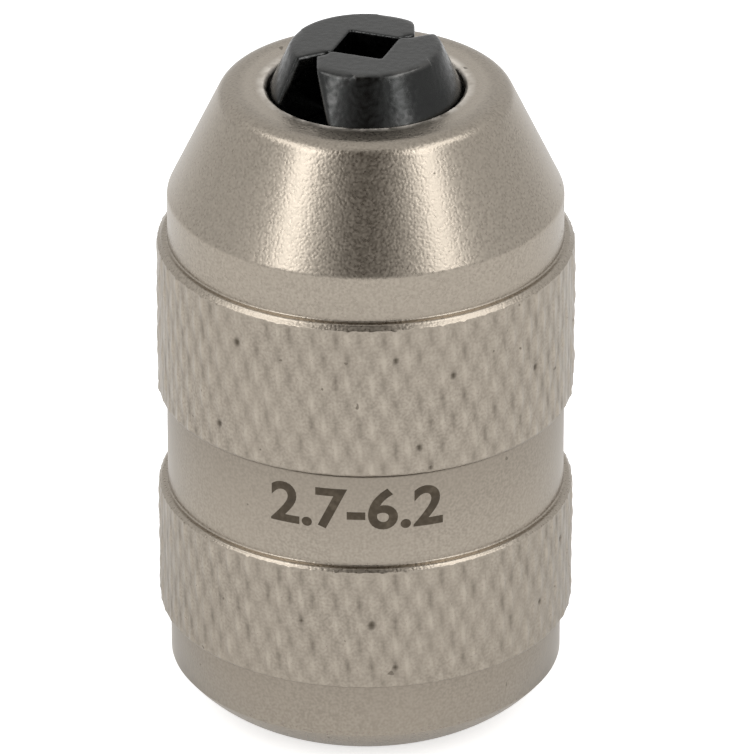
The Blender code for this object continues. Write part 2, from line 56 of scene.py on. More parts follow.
# %% Camera
CAMERA_ELEVATION = math.radians(27.2)
CAMERA_DISTANCE = 0.4737
LOOK_AT = Vector((0.0, 0.0, 0.01684))
SENSOR_MM, LENS_MM = 36.0, 429.7
SHIFT_X, SHIFT_Y = 0.015, 0.0239


def linked(name, data):
    """New object in the scene from a camera, a mesh, a curve or a lamp."""
    made = bpy.data.objects.new(name, data)
    bpy.context.collection.objects.link(made)
    return made


camera_data = bpy.data.cameras.new("photo_camera")
camera_data.sensor_width = SENSOR_MM
camera_data.lens = LENS_MM
camera_data.shift_x = SHIFT_X
camera_data.shift_y = SHIFT_Y
camera = linked("photo_camera", camera_data)
camera_side = Vector((0.0, -math.cos(CAMERA_ELEVATION), math.sin(CAMERA_ELEVATION)))
camera.location = LOOK_AT + camera_side * CAMERA_DISTANCE
camera.rotation_euler = (math.pi / 2 - CAMERA_ELEVATION, 0.0, 0.0)
bpy.context.scene.camera = camera
bpy.context.scene.view_settings.view_transform = "Standard"
print("camera at", [round(value, 4) for value in camera.location])

# %% [markdown]
# Shader nodes are easier to read through a few small helpers: they add a node and set it up, do sums, map
# ranges, mix colours, and start a node group with named inputs and outputs. A group is a finish that
# several metals can share, each with its own values.

# %% Helpers for shader nodes
def add_node(tree, kind, values=None, links=None, **settings):
    """Add a shader node, set its properties and sockets, and link what feeds it."""
    made = tree.nodes.new(kind)
    for name, value in settings.items():
        setattr(made, name, value)
    for socket, value in (values or {}).items():
        made.inputs[socket].default_value = value
    for socket, source in (links or {}).items():
        tree.links.new(source, made.inputs[socket])
    return made


def start_group(name, inputs, outputs):
    """Start a node group: inputs is {name: value}, outputs a list of names, all plain numbers."""
    group = bpy.data.node_groups.new(name, "ShaderNodeTree")
    for socket, value in inputs.items():
        made = group.interface.new_socket(socket, in_out="INPUT", socket_type="NodeSocketFloat")
        made.default_value = value
    for socket in outputs:
        group.interface.new_socket(socket, in_out="OUTPUT", socket_type="NodeSocketFloat")
    return group, group.nodes.new("NodeGroupInput"), group.nodes.new("NodeGroupOutput")


def feed(tree, source, socket):
    """Link a source to a socket, or set the socket where the source is a plain number or colour."""
    if isinstance(source, (int, float)):
        socket.default_value = source
    elif isinstance(source, tuple):
        socket.default_value = (*source, 1.0)
    else:
        tree.links.new(source, socket)


def math_node(tree, operation, first, second, clamp=False):
    """Add a Math node, where each side is a socket or a number."""
    made = add_node(tree, "ShaderNodeMath", operation=operation, use_clamp=clamp)
    feed(tree, first, made.inputs[0])
    feed(tree, second, made.inputs[1])
    return made.outputs[0]


def times(tree, first, second):
    """Product of two sides, each a socket or a number."""
    return math_node(tree, "MULTIPLY", first, second)


def ranged(tree, source, low, high, new_low, new_high):
    """Map a value from one range to another, clamped. The ends of a range may be sockets too."""
    made = add_node(tree, "ShaderNodeMapRange", links={0: source})
    for index, end in enumerate((low, high, new_low, new_high)):
        feed(tree, end, made.inputs[index + 1])
    return made.outputs[0]


def spread(tree, noise):
    """Stretch a noise, which mostly stays near its middle, over 0 to 1."""
    return ranged(tree, noise, 0.3, 0.7, 0.0, 1.0)


def between(tree, share, low, high):
    """Value between two, from a share of 0 to 1."""
    return ranged(tree, share, 0.0, 1.0, low, high)


def stored(tree, name):
    """Value that the mesh keeps at each point under a name."""
    return add_node(tree, "ShaderNodeAttribute", attribute_name=name).outputs["Fac"]


def blended(tree, factor, first, second):
    """Mix two colours. Each may be a socket or a plain (r, g, b)."""
    made = add_node(tree, "ShaderNodeMix", links={0: factor}, data_type="RGBA")
    feed(tree, first, made.inputs[6])
    feed(tree, second, made.inputs[7])
    return made.outputs[2]


def piece_noise(tree, scale, **values):
    """Noise in the space of the piece, so that it moves with it. The scale is a socket or a number."""
    place = add_node(tree, "ShaderNodeTexCoord")
    made = add_node(tree, "ShaderNodeTexNoise", values, {"Vector": place.outputs["Object"]})
    feed(tree, scale, made.inputs["Scale"])
    return made.outputs["Fac"]


print("helpers ready")

# %% [markdown]
# Bead blasting leaves a fine grain of tiny dents, which the plating covers but doesn't fill. Under a soft
# light it glitters a little. Two noises do it: a fine one for the dents, and a wide one for the slightly
# cloudy tone that plating has. A scanned texture would show its repeats, noise doesn't.

# %% Grain of blasted metal
grain_group, grain_in, grain_out = start_group(
    "blasted_grain", {"Scale": 5000.0, "Cloud Scale": 260.0}, ["Height", "Tone", "Cloud"])
dents = piece_noise(grain_group, grain_in.outputs["Scale"], Detail=0.4, Roughness=0.5)
clouds = piece_noise(grain_group, grain_in.outputs["Cloud Scale"], Detail=4.0, Roughness=0.55)
grain_group.links.new(dents, grain_out.inputs["Height"])
grain_group.links.new(spread(grain_group, dents), grain_out.inputs["Tone"])
grain_group.links.new(spread(grain_group, clouds), grain_out.inputs["Cloud"])
print("group:", grain_group.name)

# %% [markdown]
# A lathe leaves fine rings. They run round the axis, so the noise is read from the radius and the height
# alone: every point of one circle then gets the same value, and the rings close on themselves.

# %% Rings left by the lathe
ring_group, ring_in, ring_out = start_group("turning_marks", {"Scale": 9000.0}, ["Height", "Tone"])
place = add_node(ring_group, "ShaderNodeTexCoord")
split = add_node(ring_group, "ShaderNodeSeparateXYZ", links={0: place.outputs["Object"]})
x_squared = times(ring_group, split.outputs[0], split.outputs[0])
y_squared = times(ring_group, split.outputs[1], split.outputs[1])
radius = math_node(ring_group, "SQRT", math_node(ring_group, "ADD", x_squared, y_squared), 0.0)
flat_place = add_node(ring_group, "ShaderNodeCombineXYZ", links={0: radius, 1: split.outputs[2]})
rings = add_node(ring_group, "ShaderNodeTexNoise", {"Detail": 3.0, "Roughness": 0.7},
                 {"Vector": flat_place.outputs[0], "Scale": ring_in.outputs["Scale"]})
ring_group.links.new(rings.outputs["Fac"], ring_out.inputs["Height"])
ring_group.links.new(spread(ring_group, rings.outputs["Fac"]), ring_out.inputs["Tone"])
print("group:", ring_group.name)

# %% [markdown]
# Edges and corners lose their finish first. Cycles can tell how sharply a surface bends, but only from the
# spacing of the mesh, and that shows seams. So the code that makes a mesh measures the bend and stores it
# as an attribute. A noise breaks the worn band up, because nothing wears evenly.

# %% Wear along the edges
wear_group, wear_in, wear_out = start_group(
    "edge_wear", {"Start": 0.2, "Full": 0.8, "Scale": 1800.0}, ["Mask"])
patches = piece_noise(wear_group, wear_in.outputs["Scale"], Detail=3.0, Roughness=0.6)
band = ranged(wear_group, stored(wear_group, "edge"),
              wear_in.outputs["Start"], wear_in.outputs["Full"], 0.0, 1.0)
broken = ranged(wear_group, patches, 0.38, 0.6, 0.15, 1.0)
wear_group.links.new(times(wear_group, band, broken), wear_out.inputs["Mask"])
print("group:", wear_group.name)

# %% [markdown]
# Grime and painted shade gather in the same places: in the grooves of the knurl, along the parting line, and
# most of all in small pits where two grooves cross. Grime settles where a finger can't wipe, and the shade is
# painted where light can't reach. The mesh stores as an attribute how much of a groove or a pit each point
# is, and the shader reads it. Painting it by hand would never line up with grooves that code has cut. A noise
# that only its highest peaks pass adds the odd speck elsewhere.

# %% Grime and painted shade in the grooves
PATCH_SCALE, SPECK_SCALE = 2600.0, 1700.0
SPECK_START, SPECK_FULL, SPECK_SHARE = 0.775, 0.80, 0.6

shade_and_dirt_group, shade_and_dirt_in, shade_and_dirt_out = start_group("groove_shade_and_dirt", {"Groove": 0.35, "Pit": 0.9}, ["Mask"])
uneven = ranged(shade_and_dirt_group, piece_noise(shade_and_dirt_group, PATCH_SCALE, Detail=3.0), 0.38, 0.62, 0.6, 1.0)
# Grooves, crossings, pits and the parting line: grime with painted shade.
in_groove = times(shade_and_dirt_group, stored(shade_and_dirt_group, "groove"), shade_and_dirt_in.outputs["Groove"])
in_groove = times(shade_and_dirt_group, in_groove, uneven)
in_pit = times(shade_and_dirt_group, stored(shade_and_dirt_group, "pit"), shade_and_dirt_in.outputs["Pit"])
both = math_node(shade_and_dirt_group, "MAXIMUM", in_groove, in_pit)
peaks = piece_noise(shade_and_dirt_group, SPECK_SCALE, Detail=1.0)
speck = ranged(shade_and_dirt_group, peaks, SPECK_START, SPECK_FULL, 0.0, SPECK_SHARE)
shade_and_dirt_group.links.new(math_node(shade_and_dirt_group, "MAXIMUM", both, speck), shade_and_dirt_out.inputs["Mask"])
print("group:", shade_and_dirt_group.name)

# %% [markdown]
# Every finish below is a Principled shader that the groups feed. What stays the same all over a metal,
# such as how metallic it is, goes straight onto the shader. What changes from point to point, such as
# tone and roughness, comes from the groups.

# %% Start of a material
def start_material(name, **values):
    """New material with a Principled shader, whose steady values are set by name."""
    material = bpy.data.materials.new(name)
    material.use_nodes = True
    tree = material.node_tree
    shader = tree.nodes["Principled BSDF"]
    for socket, value in values.items():
        shader.inputs[socket.replace("_", " ")].default_value = value
    return material, tree, shader


def use_group(tree, group, **values):
    """Place a node group in a material, with its own values."""
    made = tree.nodes.new("ShaderNodeGroup")
    made.node_tree = group
    for socket, value in values.items():
        made.inputs[socket.replace("_", " ")].default_value = value
    return made.outputs


def surfaced(tree, shader, colour, rough, height, strength, distance=0.00003):
    """Feed a colour, a roughness and a bump, whose distance is in metres, into a shader."""
    made = add_node(tree, "ShaderNodeBump", {"Strength": strength, "Distance": distance}, {"Height": height})
    tree.links.new(colour, shader.inputs["Base Color"])
    tree.links.new(rough, shader.inputs["Roughness"])
    tree.links.new(made.outputs["Normal"], shader.inputs["Normal"])


def coated(piece, metal):
    """Give a piece one material."""
    piece.data.materials.clear()
    piece.data.materials.append(metal)


print("materials start here")

# %% [markdown]
# The sleeves are blasted, then nickel plated: a warm grey satin. Nickel is a metal, so its colour is the
# colour of what it reflects, times its own. The knurl is darker and browner in its grooves: a little grime,
# and painted shade. The tops of its diamonds are painted lighter, rubbed plating with a painted highlight,
# and the flat face of the nose is painted lighter too. At the lip of the mouth the colour is pale bare steel,
# where the plating has gone, with a painted highlight along the edge.

# %% Satin nickel
NICKEL_DARK, NICKEL_LIGHT = (0.305, 0.268, 0.222), (0.405, 0.358, 0.299)
# The rubbed colour also serves as a painted highlight on the diamond tops and the nose face.
NICKEL_CLOUD, NICKEL_RUBBED_AND_LIT = (0.378, 0.332, 0.276), (0.55, 0.490, 0.412)
# The lip colour is worn bare steel with a painted highlight along the mouth's edge.
BARE_LIP_AND_HIGHLIGHT = (0.82, 0.77, 0.70)
# The grime colour is also painted shade in the grooves, the pits and along the parting line.
GRIME_AND_SHADE = (0.085, 0.070, 0.052)


def satin_nickel():
    material, tree, shader = start_material("satin_nickel", Metallic=1.0)
    grain = use_group(tree, grain_group, Scale=7200.0, Cloud_Scale=240.0)
    # Grime with painted shade in the knurl, in its pits and along the parting line.
    shade_and_dirt = use_group(tree, shade_and_dirt_group, Groove=0.64, Pit=0.95)
    tone = blended(tree, grain["Tone"], NICKEL_DARK, NICKEL_LIGHT)
    cloudy = blended(tree, times(tree, grain["Cloud"], 0.5), tone, NICKEL_CLOUD)
    # Diamond tops and the nose face are painted lighter: rubbed plating and painted highlight.
    rubbed_and_lit = blended(tree, ranged(tree, stored(tree, "land"), 0.12, 0.8, 0.0, 0.4), cloudy, NICKEL_RUBBED_AND_LIT)
    # The lip of the mouth: worn bare steel with a painted highlight along its edge.
    wear = use_group(tree, wear_group, Start=0.0, Full=1.0, Scale=1200.0)
    bare_and_highlight = blended(tree, wear["Mask"], rubbed_and_lit, BARE_LIP_AND_HIGHLIGHT)
    rough = between(tree, grain["Tone"], 0.27, 0.34)
    rough = math_node(tree, "ADD", rough, times(tree, wear["Mask"], 0.3))
    rough = math_node(tree, "ADD", rough, times(tree, shade_and_dirt["Mask"], 0.3), clamp=True)
    surfaced(tree, shader, blended(tree, shade_and_dirt["Mask"], bare_and_highlight, GRIME_AND_SHADE), rough, grain["Height"], 0.35)
    return material


nickel = satin_nickel()
print("material:", nickel.name)

# %% [markdown]
# The jaws are hardened and blacked in a hot salt bath. That skin is thin and keeps some of the shine of the
# steel under it. It has worn to dark grey along the edges. The faces that look up are painted a lighter grey,
# for the light that falls on them from above; the shader finds those by the direction of the surface in the
# space of the piece.

# %% Blacked steel
SKIN_DARK, SKIN_LIGHT, SKIN_SPECK = (0.031, 0.032, 0.032), (0.055, 0.054, 0.053), (0.038, 0.039, 0.038)
# The top grey is painted light on faces that look up; the worn grey is real wear.
PAINTED_TOP_LIGHT, WORN_GREY = (0.083, 0.083, 0.080), (0.150, 0.146, 0.140)


def blacked_steel():
    material, tree, shader = start_material("blacked_steel", Metallic=1.0)
    grain = use_group(tree, grain_group, Scale=3800.0, Cloud_Scale=420.0)
    wear = use_group(tree, wear_group, Start=0.15, Full=0.9, Scale=1500.0)
    skin = blended(tree, grain["Cloud"], SKIN_DARK, SKIN_LIGHT)
    speckled = blended(tree, grain["Tone"], skin, SKIN_SPECK)
    place = add_node(tree, "ShaderNodeTexCoord")
    facing = add_node(tree, "ShaderNodeSeparateXYZ", links={0: place.outputs["Normal"]})
    # Painted light: faces that look up turn greyer.
    lit_from_above = ranged(tree, facing.outputs[2], 0.9, 0.99, 0.0, 0.85)
    top_lit = blended(tree, lit_from_above, speckled, PAINTED_TOP_LIGHT)
    colour = blended(tree, wear["Mask"], top_lit, WORN_GREY)
    surfaced(tree, shader, colour, between(tree, grain["Tone"], 0.19, 0.31), grain["Height"], 0.4)
    return material


black = blacked_steel()
print("material:", black.name)

# %% [markdown]
# Inside, the metals are plain: turned steel for the core, the screw and the guide, ground steel for balls,
# race, dowel and keys, dark phosphated steel for the rings, drawn wire for the springs, and brass for the
# cage. One function makes them all, since they differ only in tone, gloss and how coarse the turning is.

# %% Steels and brass
def turned_metal(name, dark, light, rough, ring_scale, ring_strength):
    """Metal with lathe rings between two tones, a mean roughness, and a little wear."""
    material, tree, shader = start_material(name, Metallic=1.0)
    marks = use_group(tree, ring_group, Scale=ring_scale)
    grain = use_group(tree, grain_group, Scale=4200.0, Cloud_Scale=300.0)
    wear = use_group(tree, wear_group, Start=0.3, Full=1.0)
    tone = blended(tree, marks["Tone"], dark, light)
    cloudy = blended(tree, times(tree, grain["Cloud"], 0.5), tone, dark)
    worn = tuple(min(1.0, value * 1.35) for value in light)
    gloss = between(tree, grain["Tone"], rough - 0.05, rough + 0.07)
    surfaced(tree, shader, blended(tree, wear["Mask"], cloudy, worn), gloss, marks["Height"], ring_strength)
    return material


turned_steel = turned_metal("turned_steel", (0.36, 0.35, 0.34), (0.50, 0.49, 0.47), 0.30, 7000.0, 0.5)
ground_steel = turned_metal("ground_steel", (0.52, 0.52, 0.53), (0.62, 0.62, 0.62), 0.14, 14000.0, 0.12)
dark_steel = turned_metal("phosphated_steel", (0.050, 0.048, 0.046), (0.085, 0.082, 0.078), 0.48, 9000.0, 0.2)
wire_steel = turned_metal("drawn_wire", (0.42, 0.42, 0.43), (0.55, 0.55, 0.56), 0.22, 12000.0, 0.15)
brass = turned_metal("cage_brass", (0.60, 0.42, 0.17), (0.74, 0.55, 0.25), 0.30, 9000.0, 0.3)
print("materials:", [m.name for m in (turned_steel, ground_steel, dark_steel, wire_steel, brass)])

# %% [markdown]
# A laser burns the numbers into the plating, so they are brown and matt, and cloudy like any burn.

# %% Burnt marking
BURNT_DARK, BURNT_LIGHT, BURNT_SPECK = (0.040, 0.029, 0.018), (0.110, 0.086, 0.058), (0.062, 0.047, 0.030)


def burnt_marking():
    material, tree, shader = start_material("burnt_marking", Specular_IOR_Level=0.25)
    grain = use_group(tree, grain_group, Scale=4500.0, Cloud_Scale=1500.0)
    burnt = blended(tree, grain["Cloud"], BURNT_DARK, BURNT_LIGHT)
    colour = blended(tree, grain["Tone"], burnt, BURNT_SPECK)
    surfaced(tree, shader, colour, between(tree, grain["Tone"], 0.45, 0.65), grain["Height"], 0.5, 0.00002)
    return material


marking = burnt_marking()
print("material:", marking.name)

# %% [markdown]
# Most pieces of a chuck are turned, so most meshes here are an outline of radius and height that goes
# round the axis. Real edges are never sharp: a helper rounds each corner of the outline with a small arc
# and puts a point close to each side of it, so that the flat faces beside it stay flat in the light.

# %% Outlines with rounded corners
SMALLEST_ROUND = 1e-4
LONGEST_ROUND = 0.45
SAME_POINT = 1e-7


def bow(start, middle, end, steps):
    """Corners along a smooth bow that leaves start towards middle and reaches end from middle."""
    corners = []
    for step in range(steps + 1):
        share = step / steps
        r, z = ((1 - share) ** 2 * a + 2 * share * (1 - share) * b + share ** 2 * c
                for a, b, c in zip(start, middle, end))
        corners.append((r, z, 0.0))
    return corners


def wall_rows(radius, start, end, spacing):
    """Corners up or down an upright wall, with a row about every spacing."""
    count = round(abs(end - start) / spacing)
    return [(radius, start + (end - start) * row / count, 0.0) for row in range(count + 1)]


def rounded_outline(corners, steps=4, support=0.06):
    """Closed outline from (radius, height, rounding) corners in millimetres."""
    points = []
    count = len(corners)
    for index, (radius, height, rounding) in enumerate(corners):
        here = np.array((radius, height))
        before = np.array(corners[index - 1][:2]) - here
        after = np.array(corners[(index + 1) % count][:2]) - here
        near, far = np.linalg.norm(before), np.linalg.norm(after)
        reach = min(rounding, near * LONGEST_ROUND, far * LONGEST_ROUND)
        if reach < SMALLEST_ROUND:
            points.append(tuple(here))
            continue
        start = here + before / near * reach
        end = here + after / far * reach
        if near > 4 * (reach + support):
            points.append(tuple(here + before / near * (reach + support)))
        points += [(r, z) for r, z, sharp in bow(start, here, end, steps)]
        if far > 4 * (reach + support):
            points.append(tuple(here + after / far * (reach + support)))
    return points


def revolved(name, outline, count, shaped=None):
    """Closed mesh of an outline turned round the axis. shaped(angles, radius, height) may return the
    radius at every angle, and the named point values to keep, for a row that isn't round."""
    angles = np.arange(count) * math.tau / count
    rows, kept = [], {}
    for radius, height in outline:
        ring = np.full(count, radius)
        extra = {}
        if shaped:
            ring, extra = shaped(angles, radius, height)
        rows.append(np.stack([ring * np.cos(angles), ring * np.sin(angles), np.full(count, height)], axis=1))
        for key, value in extra.items():
            kept.setdefault(key, []).append(value)
    points = np.concatenate(rows) * MM
    here = np.arange(count)
    beside = (here + 1) % count
    faces = []
    for row in range(len(outline)):
        low, high = row * count, (row + 1) % len(outline) * count
        faces += np.stack([low + here, low + beside, high + beside, high + here], axis=1).tolist()
    mesh = bpy.data.meshes.new(name)
    mesh.from_pydata(points.tolist(), [], faces)
    for key, values in kept.items():
        attribute = mesh.attributes.new(key, "FLOAT", "POINT")
        attribute.data.foreach_set("value", np.concatenate(values).astype(np.float32))
    mesh.validate()
    return finished(name, mesh)


def finished(name, mesh, sharp=50):
    """Object from a mesh, with outward normals and smooth shading up to an angle in degrees."""
    bm = bmesh.new()
    bm.from_mesh(mesh)
    bmesh.ops.remove_doubles(bm, verts=bm.verts, dist=SAME_POINT)
    bmesh.ops.recalc_face_normals(bm, faces=bm.faces)
    bm.to_mesh(mesh)
    bm.free()
    mesh.shade_smooth()
    mesh.set_sharp_from_angle(angle=math.radians(sharp))
    return linked(name, mesh)


print("outline helpers ready")

# %% [markdown]
# The knurl is rolled: two sets of shallow grooves cross and leave small diamonds, about twice as tall as
# wide. A bump map would leave the outline of the sleeve smooth, so the grooves are cut into the mesh. The
# grid has a whole number of steps in each diamond, so every groove runs through its points. Seen from here,
# a worn diamond is a slim light stroke and a crossing a slim dark one, so both are drawn by one formula: the
# light stroke is rubbed plating with a painted highlight, the dark one grime with painted shade. Plating
# pools and chips where grooves cross, so a few crossings get a pit, which is painted dark too.

# %% Knurl
KNURL_R = 11.0
DIAMONDS_ROUND = 55
DIAMOND_HEIGHT = 2.56
KNURL_DEPTH = 0.12
LAND_POWER = 1.6
LAND_UNEVEN = 0.3
STROKE_WIDE, STROKE_TALL, STROKE_LEAN = 0.21, 0.62, 0.16
STROKE_SHARE = 0.65
# How much painted shade, with some grime, lies along the grooves and at the crossings.
GROOVE_SHADE_AND_GRIME = 0.22
LEAST_CROSSING_SHADE = 0.15
STEPS_ROUND = 12
STEPS_UP = 16
LEVELS = 64
PIT_SHARE, PIT_SMALLEST = 0.055, 0.6
PIT_R, PIT_DEPTH = 0.21, 0.07
PIT_SOFT, PIT_TALL = 1.4, 0.8
KNURL_FADE, KNURL_TOP_FADE, BAND_MARGIN = 0.4, 0.2, 0.5
SLEEVE_STEPS = DIAMONDS_ROUND * STEPS_ROUND

MOUTH_R, MOUTH_CHAMFER = 5.16, 0.15
NOSE_TOP_Z = 34.9
RIM_R = 6.1
LIP_R, LIP_WIDE = 5.75, 0.3
FACE_MARGIN = 0.2


def cell(rising, falling):
    """Place in a table of a diamond or a crossing, from the numbers of its two grooves."""
    return (rising + falling).astype(int) % (2 * DIAMONDS_ROUND), (rising - falling).astype(int) % LEVELS


def stroke(rising, falling):
    """A slim upright stroke round the place where both distances are 0, from 1 there to 0."""
    up = rising - falling
    side = rising + falling + STROKE_LEAN * up
    return np.exp(-(side / STROKE_WIDE) ** 2 - (up / STROKE_TALL) ** 2)


def pits_between(low, high, seed):
    """Places (angle, height, size) of pits, at crossings of the grooves that a fixed draw picks."""
    draw = np.random.default_rng(seed)
    pits = []
    for level in range(math.floor(low / DIAMOND_HEIGHT * 2), math.ceil(high / DIAMOND_HEIGHT * 2)):
        for around in range(DIAMONDS_ROUND):
            if draw.random() < PIT_SHARE:
                turn = (around + 0.5 * (level % 2)) * math.tau / DIAMONDS_ROUND
                pits.append((turn, level * DIAMOND_HEIGHT / 2, draw.uniform(PIT_SMALLEST, 1.0)))
    return pits


def knurled(low, high, pits, seed, painted_shade_lines):
    """Shape for revolved(): cuts the knurl between two heights, fading out at both, and leaves every
    other row round. No two diamonds are equally tall, because a rolled knurl is never even. The last
    argument lists (height, reach, amount) lines that get painted shade, such as the parting line."""
    draw = np.random.default_rng(seed)
    tall = draw.uniform(LAND_UNEVEN, 1.0, (2 * DIAMONDS_ROUND, LEVELS))
    crossing_shade = draw.uniform(LEAST_CROSSING_SHADE, 1.0, (2 * DIAMONDS_ROUND, LEVELS))

    def shape(angles, radius, height):
        groove, land, pit, edge = (np.zeros(len(angles)) for _ in range(4))
        ring = np.full(len(angles), radius)
        # The flat face of the nose is painted lighter in full, and its lip is marked for the pale bare
        # colour.
        if radius < RIM_R + FACE_MARGIN and height > NOSE_TOP_Z - FACE_MARGIN:
            land = np.full(len(angles), 1.0)
            edge = np.full(len(angles), min(1.0, max(0.0, (LIP_R - radius) / LIP_WIDE)))
        # Painted shade along the given lines, such as the parting line, is stored with the pits.
        for line, reach, amount in painted_shade_lines:
            pit = np.maximum(pit, amount * max(0.0, 1 - abs(height - line) / reach))
        fade = min(1.0, (height - low) / KNURL_FADE, (high - height) / KNURL_TOP_FADE)
        if fade > 0 and radius > KNURL_R - BAND_MARGIN:
            across = angles / math.tau * DIAMONDS_ROUND
            rising = across + height / DIAMOND_HEIGHT
            falling = across - height / DIAMOND_HEIGHT
            from_rising, from_falling = rising - np.round(rising), falling - np.round(falling)
            off_groove = 2 * np.minimum(np.abs(from_rising), np.abs(from_falling))
            peak = tall[cell(np.floor(rising), np.floor(falling))]
            leaf = stroke(rising - np.floor(rising) - 0.5, falling - np.floor(falling) - 0.5)
            raised = (STROKE_SHARE * leaf + (1 - STROKE_SHARE) * off_groove ** LAND_POWER) * peak
            # Light strokes on the diamonds: rubbed plating with a painted highlight.
            land = leaf * peak * fade
            # Dark strokes at the crossings and along the grooves: grime with painted shade.
            crossing = stroke(from_rising, from_falling) * crossing_shade[cell(np.round(rising), np.round(falling))]
            groove = (GROOVE_SHADE_AND_GRIME * (1 - off_groove) ** 2 + (1 - GROOVE_SHADE_AND_GRIME) * crossing) * fade
            ring = np.minimum(ring, KNURL_R - KNURL_DEPTH * (1 - raised))
            for turn, level, size in pits:
                if abs(level - height) < PIT_R * 2:
                    side = (angles - turn + math.pi) % math.tau - math.pi
                    away = np.hypot(side * KNURL_R, (height - level) * PIT_TALL) / (PIT_R * size)
                    pit = np.maximum(pit, np.clip(PIT_SOFT - away, 0, 1) * fade)
            ring = ring - PIT_DEPTH * pit
        return ring, {"groove": groove, "land": land, "pit": pit, "edge": edge}
    return shape


print("diamonds round the sleeve:", DIAMONDS_ROUND)

# %% [markdown]
# Each knurl band ends in a shoulder above: a narrow flat step beside the wall, then a slope that cuts through
# the tops of the diamonds and catches the soft boxes as one bright line. It is turned into the mesh, because
# a bevel would not leave the ragged edge that the cut diamonds have. Below, the band has a small round.

# %% Knurl bands
CHAMFER = 0.82
SHOULDER_SLOPE = 0.95
SHOULDER_STEP = 0.36
SHOULDER_ROUND = 0.1
SHOULDER_FILLET = 0.1
KNURL_END = 0.13
SLOPE_STEPS, ROUND_STEPS = 14, 5
BAND_FOOT, FOOT_BULGE, FOOT_STEPS = 0.42, 0.04, 6


def shoulder_start(end_r, end_z):
    """Height at which the shoulder cuts into the tops of the knurl."""
    return end_z - SHOULDER_ROUND - (KNURL_R - end_r - SHOULDER_STEP) * SHOULDER_SLOPE


def knurl_band(low, low_r, end_r, end_z):
    """Corners of a knurl band: a small round below, the knurl, and the sloping shoulder above."""
    start_z, foot_z = shoulder_start(end_r, end_z), low + BAND_FOOT
    step_r, step_z = end_r + SHOULDER_STEP, end_z - SHOULDER_ROUND
    lower = bow((low_r, low), (KNURL_R - FOOT_BULGE, low + FOOT_BULGE), (KNURL_R, foot_z), FOOT_STEPS)
    lower += wall_rows(KNURL_R, foot_z, start_z, DIAMOND_HEIGHT / STEPS_UP)[1:-1]
    halfway = ((KNURL_R + step_r) / 2, (start_z + step_z) / 2)
    upper = bow((KNURL_R, start_z), halfway, (step_r, step_z), SLOPE_STEPS)[:-1]
    flat_r = end_r + SHOULDER_FILLET
    upper += bow((step_r, step_z), (step_r - SHOULDER_ROUND / 2, end_z), (flat_r, end_z), ROUND_STEPS)
    upper += bow((flat_r, end_z), (end_r, end_z), (end_r, end_z + SHOULDER_FILLET), ROUND_STEPS)[1:]
    return lower + upper


def knurled_sleeve(name, corners, low, shoulder, seeds, shade_lines):
    """Nickel sleeve from its corners. The knurl runs from low to the shoulder, which is (wall radius,
    height). The two seeds place its pits and vary its diamonds."""
    pits = pits_between(low, shoulder[1] - CHAMFER, seeds[0])
    shape = knurled(low, shoulder_start(*shoulder) + KNURL_END, pits, seeds[1], shade_lines)
    piece = revolved(name, rounded_outline(corners), SLEEVE_STEPS, shape)
    coated(piece, nickel)
    print(name, "points:", len(piece.data.vertices), "pits:", len(pits))
    return piece


print("shoulder slope:", SHOULDER_SLOPE)

# %% [markdown]
# The rear sleeve stands still. From the floor up it has a shallow curved base, a plain ring, the rear knurl
# band and the waist that carries the numbers. The foot of the band and the parting line get a line of painted
# shade.

# %% Rear sleeve
RING_R = 10.35
WAIST_R = 10.45
WAIST_TOP_Z = 17.45
REAR_LOW_Z, REAR_SHOULDER = 5.18, (WAIST_R, 11.42 + CHAMFER)
REAR_FOOT_R = 10.72
BASE_R, BASE_TOP_Z, BASE_BULGE, BASE_STEPS = 7.74, 2.15, 0.2, 14
REAR_BORE_R = 6.5
SINK_R, SINK_Z = 7.05, 1.85
WAIST_BORE_R, WAIST_BORE_Z = 6.9, 16.6


def base_edge():
    """Corners of the shallow curve from the rear face up to the plain ring."""
    first, last = np.array((BASE_R, 0.0)), np.array((RING_R, BASE_TOP_Z))
    run = last - first
    out = np.array((run[1], -run[0])) / np.linalg.norm(run)
    return bow(first, (first + last) / 2 + out * 2 * BASE_BULGE, last, BASE_STEPS)


rear_corners = [(SINK_R, 0.0, 0.12)] + base_edge()
rear_corners += [(RING_R, REAR_LOW_Z - 0.06, 0.0), (RING_R, REAR_LOW_Z, 0.03)]
rear_corners += knurl_band(REAR_LOW_Z, REAR_FOOT_R, *REAR_SHOULDER)
rear_corners += [
    (WAIST_R, WAIST_TOP_Z, 0.07),
    (WAIST_BORE_R, WAIST_TOP_Z, 0.1),
    (WAIST_BORE_R, WAIST_BORE_Z, 0.0),
    (REAR_BORE_R, WAIST_BORE_Z, 0.0),
    (REAR_BORE_R, SINK_Z, 0.05),
    (SINK_R, SINK_Z, 0.0),
]
# Lines of painted shade at the foot of the band and at the parting line.
rear_shade_lines = [(REAR_LOW_Z, 0.12, 0.45), (WAIST_TOP_Z, 0.3, 0.45)]
rear = knurled_sleeve("rear_sleeve_knurled", rear_corners, REAR_LOW_Z, REAR_SHOULDER, (11, 5), rear_shade_lines)
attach(rear, "core")
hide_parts("rear_sleeve")

# %% [markdown]
# The front sleeve turns. Its knurl starts right above a fine parting line. Then come a plain ring, the nose
# cone, a rounded rim with a flat face, and the mouth, which opens downward into the cone that closes the
# jaws. The cone inside keeps one clearance to the jaws all the way, so it is worked out from them.

